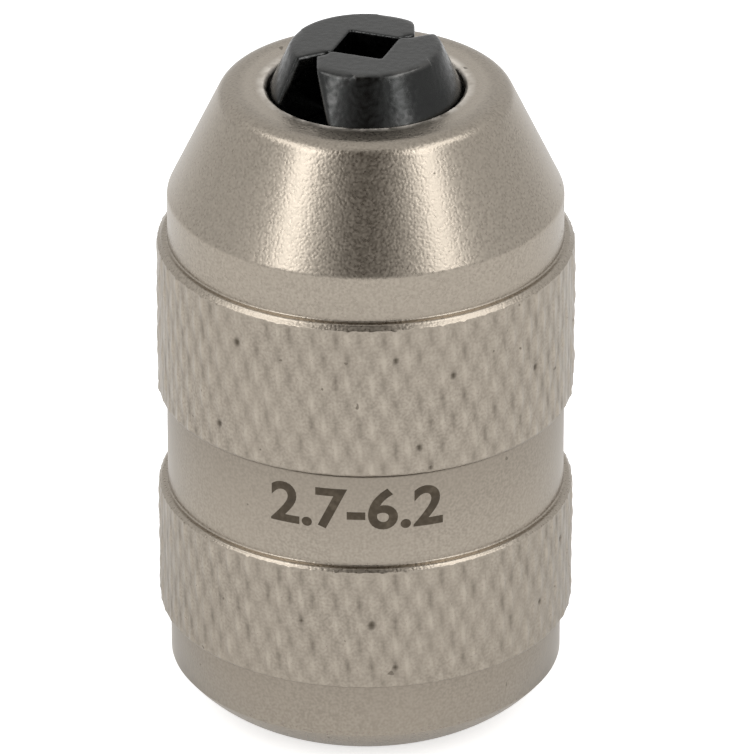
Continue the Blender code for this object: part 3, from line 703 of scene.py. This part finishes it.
# %% Front sleeve
CONE_SLOPE = math.tan(math.radians(25.5))
JAW_SLOPE = math.tan(math.radians(24.0))
JAW_TOP_Z = 37.2
JAW_TOP_R = 3.9
JAW_CLEARANCE = 0.15
FRONT_LOW_Z, FRONT_SHOULDER = 17.57, (RING_R, 25.53 + CHAMFER)
FRONT_FOOT_R = 10.56
CONE_LOW_Z, CONE_HIGH_Z = 28.81, 34.31
RIM_ROLL, RIM_STEPS = 1.05, 10
CAVITY_R = 9.2
GROOVE_DEPTH, GROOVE_LOW_Z, GROOVE_HIGH_Z = 0.45, 22.125, 22.625

cone_high_r = RING_R - (CONE_HIGH_Z - CONE_LOW_Z) * CONE_SLOPE
cavity_cone_z = JAW_TOP_Z - (CAVITY_R - JAW_CLEARANCE - JAW_TOP_R) / JAW_SLOPE
mouth_cone_z = JAW_TOP_Z - (MOUTH_R - JAW_CLEARANCE - JAW_TOP_R) / JAW_SLOPE


def nose_rim():
    """Corners of the rim: it leaves the cone along its slope and meets the flat face level."""
    corner_r = cone_high_r - (NOSE_TOP_Z - CONE_HIGH_Z) * CONE_SLOPE
    end = (cone_high_r - RIM_ROLL, NOSE_TOP_Z)
    return bow((cone_high_r, CONE_HIGH_Z), (corner_r, NOSE_TOP_Z), end, RIM_STEPS)


front_corners = [(CAVITY_R, FRONT_LOW_Z, 0.0)]
front_corners += knurl_band(FRONT_LOW_Z, FRONT_FOOT_R, *FRONT_SHOULDER)
front_corners += [(RING_R, CONE_LOW_Z, 0.12)]
front_corners += nose_rim()
front_corners += [
    (RIM_R, NOSE_TOP_Z, 0.0),
    (LIP_R, NOSE_TOP_Z, 0.0),
    (MOUTH_R + MOUTH_CHAMFER, NOSE_TOP_Z, 0.06),
    (MOUTH_R, NOSE_TOP_Z - MOUTH_CHAMFER, 0.0),
    (MOUTH_R, mouth_cone_z, 0.0),
    (CAVITY_R, cavity_cone_z, 0.1),
    (CAVITY_R, GROOVE_HIGH_Z, 0.0),
    (CAVITY_R + GROOVE_DEPTH, GROOVE_HIGH_Z, 0.0),
    (CAVITY_R + GROOVE_DEPTH, GROOVE_LOW_Z, 0.0),
    (CAVITY_R, GROOVE_LOW_Z, 0.0),
]
# The parting line at the foot of the front knurl gets a line of painted shade.
front = knurled_sleeve("front_sleeve_knurled", front_corners, FRONT_LOW_Z, FRONT_SHOULDER, (23, 6),
                       [(FRONT_LOW_Z, 0.3, 0.45)])
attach(front, "nose")
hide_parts("front_sleeve")

# %% [markdown]
# The jaws are carved, and so are some inner pieces. Cutting tools do this on the real ones, so here too:
# Boolean cutters carve a finely divided solid. The jaws are then tumbled, which rounds every edge. A bevel
# fails where many cuts meet, so the carved piece becomes an even grid of small faces, and relaxing that grid
# rounds the edges softly.

# %% Helpers for carved pieces
ROD_STEPS = 48
FAR = 12.0
JAW_FLANK = 5.75
BEND_TO_WEAR = 14.0


def placed(name, bm):
    """Object in metres from a bmesh in millimetres, which is then gone."""
    bmesh.ops.scale(bm, vec=(MM, MM, MM), verts=bm.verts)
    mesh = bpy.data.meshes.new(name)
    bm.to_mesh(mesh)
    bm.free()
    return linked(name, mesh)


def prism(name, outline, low, high):
    """Solid between two heights from an outline of (x, y) points, in millimetres."""
    bm = bmesh.new()
    floor = bm.faces.new([bm.verts.new((x, y, low)) for x, y in outline])
    made = bmesh.ops.extrude_face_region(bm, geom=[floor])
    top = [item for item in made["geom"] if isinstance(item, bmesh.types.BMVert)]
    bmesh.ops.translate(bm, vec=(0, 0, high - low), verts=top)
    bmesh.ops.recalc_face_normals(bm, faces=bm.faces)
    return placed(name, bm)


def block(name, low, high):
    """Box between two corners in millimetres."""
    corners = [(low[0], low[1]), (high[0], low[1]), (high[0], high[1]), (low[0], high[1])]
    return prism(name, corners, low[2], high[2])


def carved(piece, tools):
    """Cut or join (tool, operation, turn) solids into a piece, and remove the tools."""
    for tool, operation, turn in tools:
        tool.rotation_euler.z = turn
        modifier = piece.modifiers.new(tool.name, "BOOLEAN")
        modifier.operation = operation
        modifier.solver = "EXACT"
        modifier.object = tool
    evaluated_mesh(piece)
    for tool, operation, turn in tools:
        bpy.data.objects.remove(tool, do_unlink=True)


def flank_tools(name, low, high):
    """Two blocks that cut both flanks of a piece flat, to the width of the guide."""
    return [block(name, (near, -FAR, low), (far, FAR, high))
            for near, far in ((-FAR, -JAW_FLANK), (JAW_FLANK, FAR))]


def rod(name, radius, start, end):
    """Cylinder between two points in millimetres."""
    start, end = Vector(start), Vector(end)
    bm = bmesh.new()
    bmesh.ops.create_cone(bm, cap_ends=True, segments=ROD_STEPS, radius1=radius, radius2=radius,
                          depth=(end - start).length)
    bmesh.ops.rotate(bm, matrix=(end - start).to_track_quat("Z", "Y").to_matrix(), verts=bm.verts)
    bmesh.ops.translate(bm, vec=(start + end) / 2, verts=bm.verts)
    return placed(name, bm)


def evaluated_mesh(piece):
    """The mesh of a piece with its modifiers applied, which are then gone."""
    bpy.context.view_layer.update()
    graph = bpy.context.evaluated_depsgraph_get()
    mesh = bpy.data.meshes.new_from_object(piece.evaluated_get(graph))
    piece.modifiers.clear()
    piece.data = mesh
    return mesh


def tumbled(piece, voxel, passes, worn):
    """Round the edges as tumbling does: turn the piece into an even grid and relax it. passes lists
    (count, pick), where pick(point in mm) says which points relax. How far a point stands out from its
    neighbours is kept for the wear, where worn(point in mm) allows it."""
    modifier = piece.modifiers.new("even_grid", "REMESH")
    modifier.mode = "VOXEL"
    modifier.voxel_size = voxel * MM
    mesh = evaluated_mesh(piece)
    bm = bmesh.new()
    bm.from_mesh(mesh)
    for count, pick in passes:
        picked = [vert for vert in bm.verts if pick(vert.co / MM)]
        for _ in range(count):
            bmesh.ops.smooth_vert(bm, verts=picked, factor=0.5,
                                  use_axis_x=True, use_axis_y=True, use_axis_z=True)
    bm.normal_update()
    bend = []
    for vert in bm.verts:
        around = sum((edge.other_vert(vert).co for edge in vert.link_edges), Vector()) / len(vert.link_edges)
        stands_out = (vert.co - around).dot(vert.normal) / (voxel * MM)
        bend.append(stands_out * BEND_TO_WEAR if worn(vert.co / MM) else 0.0)
    bm.to_mesh(mesh)
    bm.free()
    attribute = mesh.attributes.new("edge", "FLOAT", "POINT")
    attribute.data.foreach_set("value", np.clip(np.array(bend, np.float32), 0.0, 1.0))
    mesh.shade_smooth()


print("carving helpers ready")

# %% [markdown]
# Each jaw is half a cone that was split, notched for the square, drilled for the springs, flattened where it
# slides in the guide and cut back at one tip. Its T foot hangs in the slot of the drive screw. Both jaws are
# the same piece, half a turn apart, so one function makes them. The tips are rounded most, so their part of
# the grid relaxes longest.

# %% Jaws
JAW_FOOT_Z = 31.0
JAW_EDGE = 0.12
JAW_FOOT_CHAMFER = 0.45
SPLIT_ANGLE = math.radians(25.0)
SPLIT_GAP = 0.08
SQUARE_HALF = 2.7 / math.sqrt(2)
TIP_DISTANCE = 2.62
TIP_TURN = math.radians(24.5)
TIP_LEAN = math.radians(12.0)
TIP_LENGTH = 3.4
SPRING_HOLE_R = 0.69
SPRING_X, SPRING_Z, SPRING_START, SPRING_END = 3.35, 32.0, -1.0, 3.7
FOOT_START, FOOT_END = 2.0, 3.7
FOOT_HALF, FOOT_LOW_Z, FOOT_TOP_Z = 1.9, 28.84, 29.66
NECK_HALF, NECK_LOW_Z, NECK_BITE = 0.96, 29.5, 0.3
HAIR = 0.001
OFF_SPLIT, OFF_SQUARE, OFF_TIP = 0.22, 0.3, 0.25
ALL_PASSES, EDGE_PASSES, TIP_PASSES = 3, 10, 34
CENTRE_R = 0.05
JAW_STEPS = 256
VOXEL = 0.07


def jaw_cone(name):
    """Full cone that both jaws are cut from."""
    def cone_r(z):
        return JAW_TOP_R + (JAW_TOP_Z - z) * JAW_SLOPE

    foot_r = cone_r(JAW_FOOT_Z + JAW_FOOT_CHAMFER)
    edge_r = cone_r(JAW_TOP_Z - JAW_EDGE)
    outline = [
        (CENTRE_R, JAW_FOOT_Z),
        (foot_r - JAW_FOOT_CHAMFER, JAW_FOOT_Z),
        (foot_r, JAW_FOOT_Z + JAW_FOOT_CHAMFER),
        (edge_r, JAW_TOP_Z - JAW_EDGE),
        (edge_r - JAW_EDGE, JAW_TOP_Z),
        (CENTRE_R, JAW_TOP_Z),
    ]
    return revolved(name, outline, JAW_STEPS)


def tip_tool():
    """Leaning block that leaves the flat on one tip of a jaw."""
    tool = block("tip", (0.0, -FAR, -TIP_LENGTH), (FAR, FAR, FAR))
    lean = Matrix.Rotation(TIP_LEAN, 4, "Y")
    turn = Matrix.Rotation(-TIP_TURN, 4, "Z")
    place = Matrix.Translation(Vector((TIP_DISTANCE, 0, 0)) * MM)
    lift = Matrix.Translation(Vector((0, 0, JAW_TOP_Z)) * MM)
    tool.data.transform(lift @ turn @ place @ lean)
    return tool


def soft_jaw(name, turn, node):
    """One jaw with all its cuts and its T foot, tumbled, riding on its own body."""
    piece = jaw_cone(name)
    low, high = JAW_FOOT_Z - FAR, JAW_TOP_Z + FAR
    square = [(-SQUARE_HALF, 0.0), (0.0, -SQUARE_HALF), (SQUARE_HALF, 0.0), (0.0, SQUARE_HALF)]
    cuts = [
        block("split", (-FAR, -FAR, low), (FAR, SPLIT_GAP / 2, high)),
        prism("square", square, low, high),
        tip_tool(),
    ]
    for side, flank_tool in zip((-1, 1), flank_tools("flank", low, high)):
        start = (side * SPRING_X, SPRING_START, SPRING_Z)
        end = (side * SPRING_X, SPRING_END, SPRING_Z)
        cuts += [flank_tool, rod("spring_hole", SPRING_HOLE_R, start, end)]
    joins = [
        block("foot", (-FOOT_HALF, FOOT_START, FOOT_LOW_Z), (FOOT_HALF, FOOT_END, FOOT_TOP_Z)),
        block("foot_neck", (-NECK_HALF, FOOT_START + HAIR, NECK_LOW_Z),
              (NECK_HALF, FOOT_END - HAIR, JAW_FOOT_Z + NECK_BITE)),
    ]
    carved(piece, [(tool, "DIFFERENCE", turn) for tool in cuts] + [(tool, "UNION", turn) for tool in joins])
    across = Vector((-math.sin(turn), math.cos(turn), 0.0))
    along = Vector((math.cos(turn), math.sin(turn), 0.0))

    def off_split(point):
        near_square = abs(point.dot(along)) + abs(point.dot(across)) < SQUARE_HALF + OFF_SQUARE
        return point.dot(across) > OFF_SPLIT and not near_square

    def near_tip(point):
        return abs(point.dot(along)) > SQUARE_HALF + OFF_TIP and point.z > JAW_TOP_Z - TIP_LENGTH

    passes = [(ALL_PASSES, lambda point: True), (EDGE_PASSES, off_split), (TIP_PASSES, near_tip)]
    tumbled(piece, VOXEL, passes, off_split)
    coated(piece, black)
    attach(piece, node)
    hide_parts(node)
    print(name, "points:", len(piece.data.vertices))


soft_jaw("jaw_back_soft", SPLIT_ANGLE, "jaw_back")
soft_jaw("jaw_front_soft", SPLIT_ANGLE + math.pi, "jaw_front")

# %% [markdown]
# Two threads matter. The fine one in the rear socket is what the chuck is mounted by, and whoever turns it
# over looks into it. The coarse one feeds the drive screw down through the core, and it is left-handed,
# because the screw sinks while it turns the way the sleeve opens. Both halves of the coarse thread are drawn
# by the same wave, so they stay in step at every turn of the sleeve.

# %% Threads
THREAD_STEPS = 96
ROWS_PER_TURN = 14
SOCKET_R, SOCKET_TOP_Z, MOUNT_PITCH, MOUNT_DEPTH = 4.45, 8.6, 1.0, 0.52
NUT_R, FLANGE_TOP_Z, FEED_PITCH, FEED_DEPTH = 3.3, 21.9, 2.0, 0.2
SCREW_R, SCREW_LOW_Z, HEAD_Z, HEAD_R, HEAD_TOP_Z = 3.0, 14.6, 27.9, 6.4, 30.7
SLOT_NECK_HALF, SLOT_NECK_Z = 1.2, 29.25
SLOT_HALF, SLOT_LOW_Z, SLOT_TOP_Z = 2.2, 28.6, 29.9
CORE_R, FLANGE_R, FLANGE_LOW_Z = 6.2, 8.7, 20.35
CLIP_GROOVE_R, CLIP_LOW_Z, CLIP_TOP_Z = 5.75, 0.8, 1.7
SEAT_R, SEAT_LOW_Z = 6.6, 16.9
BALL_CIRCLE_R, BALL_CENTRE_Z, BALL_GROOVE_R, BALL_GROOVE_STEPS = 7.78, 19.8, 0.81, 8
BALL_GROOVE_ANGLE = 47.0
DOWEL_HOLE_R, DOWEL_X, DOWEL_LOW_Z, DOWEL_TOP_Z = 0.81, 6.35, 1.55, 6.25
THREAD_FLANK, THREAD_VALLEY = 3.0, 0.25
EDGE = 0.5


def thread_wave(angles, height, pitch, hand):
    """Thread from 0 in its valley to 1 on its crest. hand is 1 for a right thread, -1 for a left one."""
    turns = height / pitch - hand * angles / math.tau
    return np.clip(THREAD_FLANK * np.abs(turns - np.round(turns)) - THREAD_VALLEY, 0.0, 1.0)


def threaded(walls):
    """Shape for revolved(). walls is {radius: (low, high, pitch, hand, valley, crest)}: the thread moves such
    a wall out by valley to crest, and fades at both ends."""
    def shape(angles, radius, height):
        ring = np.full(len(angles), radius)
        if radius in walls:
            low, high, pitch, hand, valley, crest = walls[radius]
            fade = max(0.0, min(1.0, (height - low) / pitch, (high - height) / pitch))
            ring += fade * (valley + (crest - valley) * thread_wave(angles, height, pitch, hand))
        return ring, {}
    return shape


def ball_groove():
    """Corners of the groove that the balls run in, under the flange."""
    corners = []
    for step in range(BALL_GROOVE_STEPS + 1):
        angle = math.radians(BALL_GROOVE_ANGLE * (2 * step / BALL_GROOVE_STEPS - 1))
        groove_r = BALL_CIRCLE_R + BALL_GROOVE_R * math.sin(angle)
        corners.append((groove_r, BALL_CENTRE_Z + BALL_GROOVE_R * math.cos(angle), 0.0))
    return corners


core_corners = [
    (SOCKET_R + EDGE, 0.0, 0.04),
    (CORE_R, 0.0, 0.1),
    (CORE_R, CLIP_LOW_Z, 0.04),
    (CLIP_GROOVE_R, CLIP_LOW_Z, 0.0),
    (CLIP_GROOVE_R, CLIP_TOP_Z, 0.0),
    (CORE_R, CLIP_TOP_Z, 0.04),
    (CORE_R, SEAT_LOW_Z, 0.0),
    (SEAT_R, SEAT_LOW_Z, 0.05),
    (SEAT_R, FLANGE_LOW_Z, 0.1),
]
core_corners += ball_groove()
core_corners += [(FLANGE_R, FLANGE_LOW_Z, 0.1), (FLANGE_R, FLANGE_TOP_Z, 0.12)]
core_corners += wall_rows(NUT_R, FLANGE_TOP_Z, SOCKET_TOP_Z, FEED_PITCH / ROWS_PER_TURN)
core_corners += wall_rows(SOCKET_R, SOCKET_TOP_Z, EDGE, MOUNT_PITCH / ROWS_PER_TURN)
core_shape = threaded({
    SOCKET_R: (EDGE, SOCKET_TOP_Z, MOUNT_PITCH, 1, 0.0, MOUNT_DEPTH),
    NUT_R: (SOCKET_TOP_Z, FLANGE_TOP_Z, FEED_PITCH, -1, -FEED_DEPTH, 0.0),
})
core = revolved("core_threaded", rounded_outline(core_corners), THREAD_STEPS, core_shape)
dowel_hole = rod("dowel_hole", DOWEL_HOLE_R, (DOWEL_X, 0, DOWEL_LOW_Z), (DOWEL_X, 0, DOWEL_TOP_Z))
carved(core, [(dowel_hole, "DIFFERENCE", SPLIT_ANGLE + math.pi)])
coated(core, turned_steel)
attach(core, "core")
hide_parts("core_body")
print(core.name, "points:", len(core.data.vertices))

screw_corners = [(0.0, SCREW_LOW_Z, 0.0), (SCREW_R - EDGE, SCREW_LOW_Z, 0.05)]
screw_corners += wall_rows(SCREW_R, SCREW_LOW_Z + EDGE, HEAD_Z, FEED_PITCH / ROWS_PER_TURN)
screw_corners += [(HEAD_R - EDGE, HEAD_Z, 0.05), (HEAD_R, HEAD_Z + EDGE, 0.05)]
screw_corners += [(HEAD_R, HEAD_TOP_Z, 0.12), (0.0, HEAD_TOP_Z, 0.0)]
screw_shape = threaded({SCREW_R: (SCREW_LOW_Z + EDGE, HEAD_Z - EDGE, FEED_PITCH, -1, 0.0, FEED_DEPTH)})
screw = revolved("drive_screw_threaded", rounded_outline(screw_corners), THREAD_STEPS, screw_shape)
slots = [block("slot_neck", (-SLOT_NECK_HALF, -FAR, SLOT_NECK_Z), (SLOT_NECK_HALF, FAR, JAW_TOP_Z))]
slots += [block("slot_hollow", (-SLOT_HALF, -FAR, SLOT_LOW_Z), (SLOT_HALF, FAR, SLOT_TOP_Z))]
slots += flank_tools("head_flat", HEAD_Z - 1.0, JAW_TOP_Z)
carved(screw, [(tool, "DIFFERENCE", SPLIT_ANGLE) for tool in slots])
coated(screw, turned_steel)
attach(screw, "screw")
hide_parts("drive_screw")
print(screw.name, "points:", len(screw.data.vertices))

# %% [markdown]
# Pieces whose CAD shape is already right stay as they are, and only get their metal. A table of metals and
# nodes keeps this in one place.

# %% Metals of the inner pieces
METALS = [
    (turned_steel, ["jaw_guide"]),
    (ground_steel, ["bearing_ring", "sleeve_dowel", "guide_key_left", "guide_key_right"]),
    (ground_steel, [f"bearing_ball_{number:02d}" for number in range(1, 13)]),
    (dark_steel, ["rear_snap_ring", "guide_snap_ring"]),
    (wire_steel, ["spring_left", "spring_right"]),
    (brass, ["ball_cage"]),
]
for metal, names in METALS:
    for name in names:
        coated(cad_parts[name], metal)
print("dressed nodes:", sum(len(names) for metal, names in METALS))

# %% [markdown]
# The waist carries plain numbers: the smallest and the largest square, in millimetres, that the jaws take.
# Blender's own lettering gives flat outlines. They are cut fine, pressed onto the round waist, and given a
# hair of thickness, as a laser mark has.

# %% Numbers on the waist
TEXT_HEIGHT = 2.4
TEXT_WIDTH = 9.2
TEXT_CENTRE_X = -0.5
TEXT_LOW_Z = 14.35
TEXT_PROUD = 0.012
TEXT_BOLDER = 0.022
TEXT_STRIPS = 60


def waist_numbers(body):
    """Flat lettering, cut into strips, pressed onto the waist and made a hair proud of it."""
    curve = bpy.data.curves.new("waist_numbers_outline", "FONT")
    curve.body = body
    curve.resolution_u = 6
    curve.offset = TEXT_BOLDER
    flat = linked("waist_numbers_outline", curve)
    bpy.context.view_layer.update()
    mesh = bpy.data.meshes.new_from_object(flat.evaluated_get(bpy.context.evaluated_depsgraph_get()))
    bpy.data.objects.remove(flat, do_unlink=True)
    bm = bmesh.new()
    bm.from_mesh(mesh)
    bmesh.ops.remove_doubles(bm, verts=bm.verts, dist=1e-6)
    low = Vector((min(v.co.x for v in bm.verts), min(v.co.y for v in bm.verts)))
    high = Vector((max(v.co.x for v in bm.verts), max(v.co.y for v in bm.verts)))
    bmesh.ops.triangulate(bm, faces=bm.faces)
    for cut in np.linspace(low.x, high.x, TEXT_STRIPS)[1:-1]:
        geometry = bm.verts[:] + bm.edges[:] + bm.faces[:]
        bmesh.ops.bisect_plane(bm, geom=geometry, plane_co=(cut, 0, 0), plane_no=(1, 0, 0))
    made = bmesh.ops.extrude_face_region(bm, geom=bm.faces[:])
    raised = {item for item in made["geom"] if isinstance(item, bmesh.types.BMVert)}
    for vert in bm.verts:
        share = (vert.co.x - low.x) / (high.x - low.x) - 0.5
        angle = (TEXT_CENTRE_X + share * TEXT_WIDTH) / WAIST_R
        height = TEXT_LOW_Z + (vert.co.y - low.y) / (high.y - low.y) * TEXT_HEIGHT
        radius = WAIST_R + (TEXT_PROUD if vert in raised else -TEXT_PROUD)
        vert.co = Vector((radius * math.sin(angle), -radius * math.cos(angle), height)) * MM
    bm.to_mesh(mesh)
    bm.free()
    mesh.name = "waist_numbers"
    piece = finished("waist_numbers", mesh, 40)
    coated(piece, marking)
    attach(piece, "core")
    print(piece.name, "points:", len(piece.data.vertices))


waist_numbers("2.7-6.2")

# %% [markdown]
# The chuck stands on a plain pale floor that runs far enough back to fill the frame. A matt sheet is the
# simplest studio floor. A real one is lit until it turns white. Here the paper glows a little for the rays
# that look at it, straight or by a reflection, so it turns white and keeps the soft shadow of the chuck.

# %% Floor
FLOOR_LIFT = 0.62
FLOOR_MIRRORED = 0.26
FLOOR_R, FLOOR_DROP = 3000.0, 0.02
PAPER_DARK, PAPER_LIGHT = (0.79, 0.79, 0.79), (0.81, 0.81, 0.81)


def studio_floor():
    """Round sheet of paper a hair below the chuck, glowing a little for the rays that look at it."""
    bm = bmesh.new()
    bmesh.ops.create_circle(bm, cap_ends=True, segments=96, radius=FLOOR_R)
    bmesh.ops.translate(bm, vec=(0, 0, -FLOOR_DROP), verts=bm.verts)
    floor = placed("studio_floor", bm)
    material, tree, shader = start_material("pale_paper", Roughness=0.95, Specular_IOR_Level=0.1,
                                            Emission_Color=(1.0, 1.0, 1.0, 1.0))
    fibre = use_group(tree, grain_group, Scale=900.0, Cloud_Scale=12.0)
    tree.links.new(blended(tree, fibre["Cloud"], PAPER_DARK, PAPER_LIGHT), shader.inputs["Base Color"])
    path = add_node(tree, "ShaderNodeLightPath")
    seen = math_node(tree, "MAXIMUM", path.outputs["Is Camera Ray"], path.outputs["Is Transmission Ray"])
    straight = times(tree, seen, FLOOR_LIFT)
    mirrored = times(tree, path.outputs["Is Glossy Ray"], FLOOR_MIRRORED)
    tree.links.new(math_node(tree, "MAXIMUM", straight, mirrored), shader.inputs["Emission Strength"])
    coated(floor, material)


studio_floor()
print("floor laid")

# %% [markdown]
# Satin metal shows the room more than the lamps. The photograph has a bright room, and darkness behind the
# camera: that is the dark band down the middle of the nose cone. A modelled room would do, but the world can
# say it shorter. It is a plain light grey with one tall dark patch behind the camera.

# %% Room
DARK_ELEVATION = math.radians(34.0)
DARK_DIRECTION = Vector((0.0, -math.cos(DARK_ELEVATION), math.sin(DARK_ELEVATION)))
DARK_TALL = (1.0, 1.0, 0.4)
DARK_EDGE, DARK_HEART = 0.80, 0.92
ROOM_LEVEL = 0.79
DARK_COLOUR = (0.046, 0.034, 0.022)

world = bpy.data.worlds.new("studio_room")
bpy.context.scene.world = world
world.use_nodes = True
room = world.node_tree
background = room.nodes["Background"]
direction = add_node(room, "ShaderNodeTexCoord")
lower = add_node(room, "ShaderNodeVectorMath", {1: DARK_TALL}, {0: direction.outputs["Generated"]},
                 operation="MULTIPLY")
even = add_node(room, "ShaderNodeVectorMath", links={0: lower.outputs["Vector"]}, operation="NORMALIZE")
toward = add_node(room, "ShaderNodeVectorMath", {1: DARK_DIRECTION}, {0: even.outputs["Vector"]},
                  operation="DOT_PRODUCT")
dark = ranged(room, toward.outputs["Value"], DARK_EDGE, DARK_HEART, 0.0, 1.0)
room.links.new(blended(room, dark, (ROOM_LEVEL,) * 3, DARK_COLOUR), background.inputs["Color"])
background.inputs["Strength"].default_value = 1.0
print("room level", ROOM_LEVEL, "dark colour", DARK_COLOUR)

# %% [markdown]
# A tall narrow soft box on each side of the camera makes the two bright bands on the nose cone, and a wide
# panel further back lights each flank. They are area lamps, because their shape shows in satin metal. The
# left box is a little brighter, as in the photograph.

# %% Soft boxes
LAMP_DISTANCE = 0.7
BOX_PLACE, BOX_SIZE, BOX_WATTS = (47.0, 32.0), (0.16, 0.42), {"left": 0.90, "right": 0.78}
PANEL_PLACE, PANEL_SIZE, PANEL_WATTS = (72.0, 52.0), (0.46, 0.24), 0.80


def soft_box(name, side, place, size, watts):
    """Area lamp that looks at the chuck. The place is degrees from the camera's side, and above the floor.
    The side is -1 for the left and 1 for the right."""
    lamp = bpy.data.lights.new(name, "AREA")
    lamp.shape = "RECTANGLE"
    lamp.size, lamp.size_y = size
    lamp.energy = watts
    piece = linked(name, lamp)
    turn, lift = math.radians(side * place[0]), math.radians(place[1])
    out = Vector((math.sin(turn) * math.cos(lift), -math.cos(turn) * math.cos(lift), math.sin(lift)))
    piece.location = LOOK_AT + out * LAMP_DISTANCE
    piece.rotation_euler = out.to_track_quat("Z", "Y").to_euler()


for side, name in ((-1, "left"), (1, "right")):
    soft_box("soft_box_" + name, side, BOX_PLACE, BOX_SIZE, BOX_WATTS[name])
    soft_box("side_panel_" + name, side, PANEL_PLACE, PANEL_SIZE, PANEL_WATTS)
print("soft boxes placed")
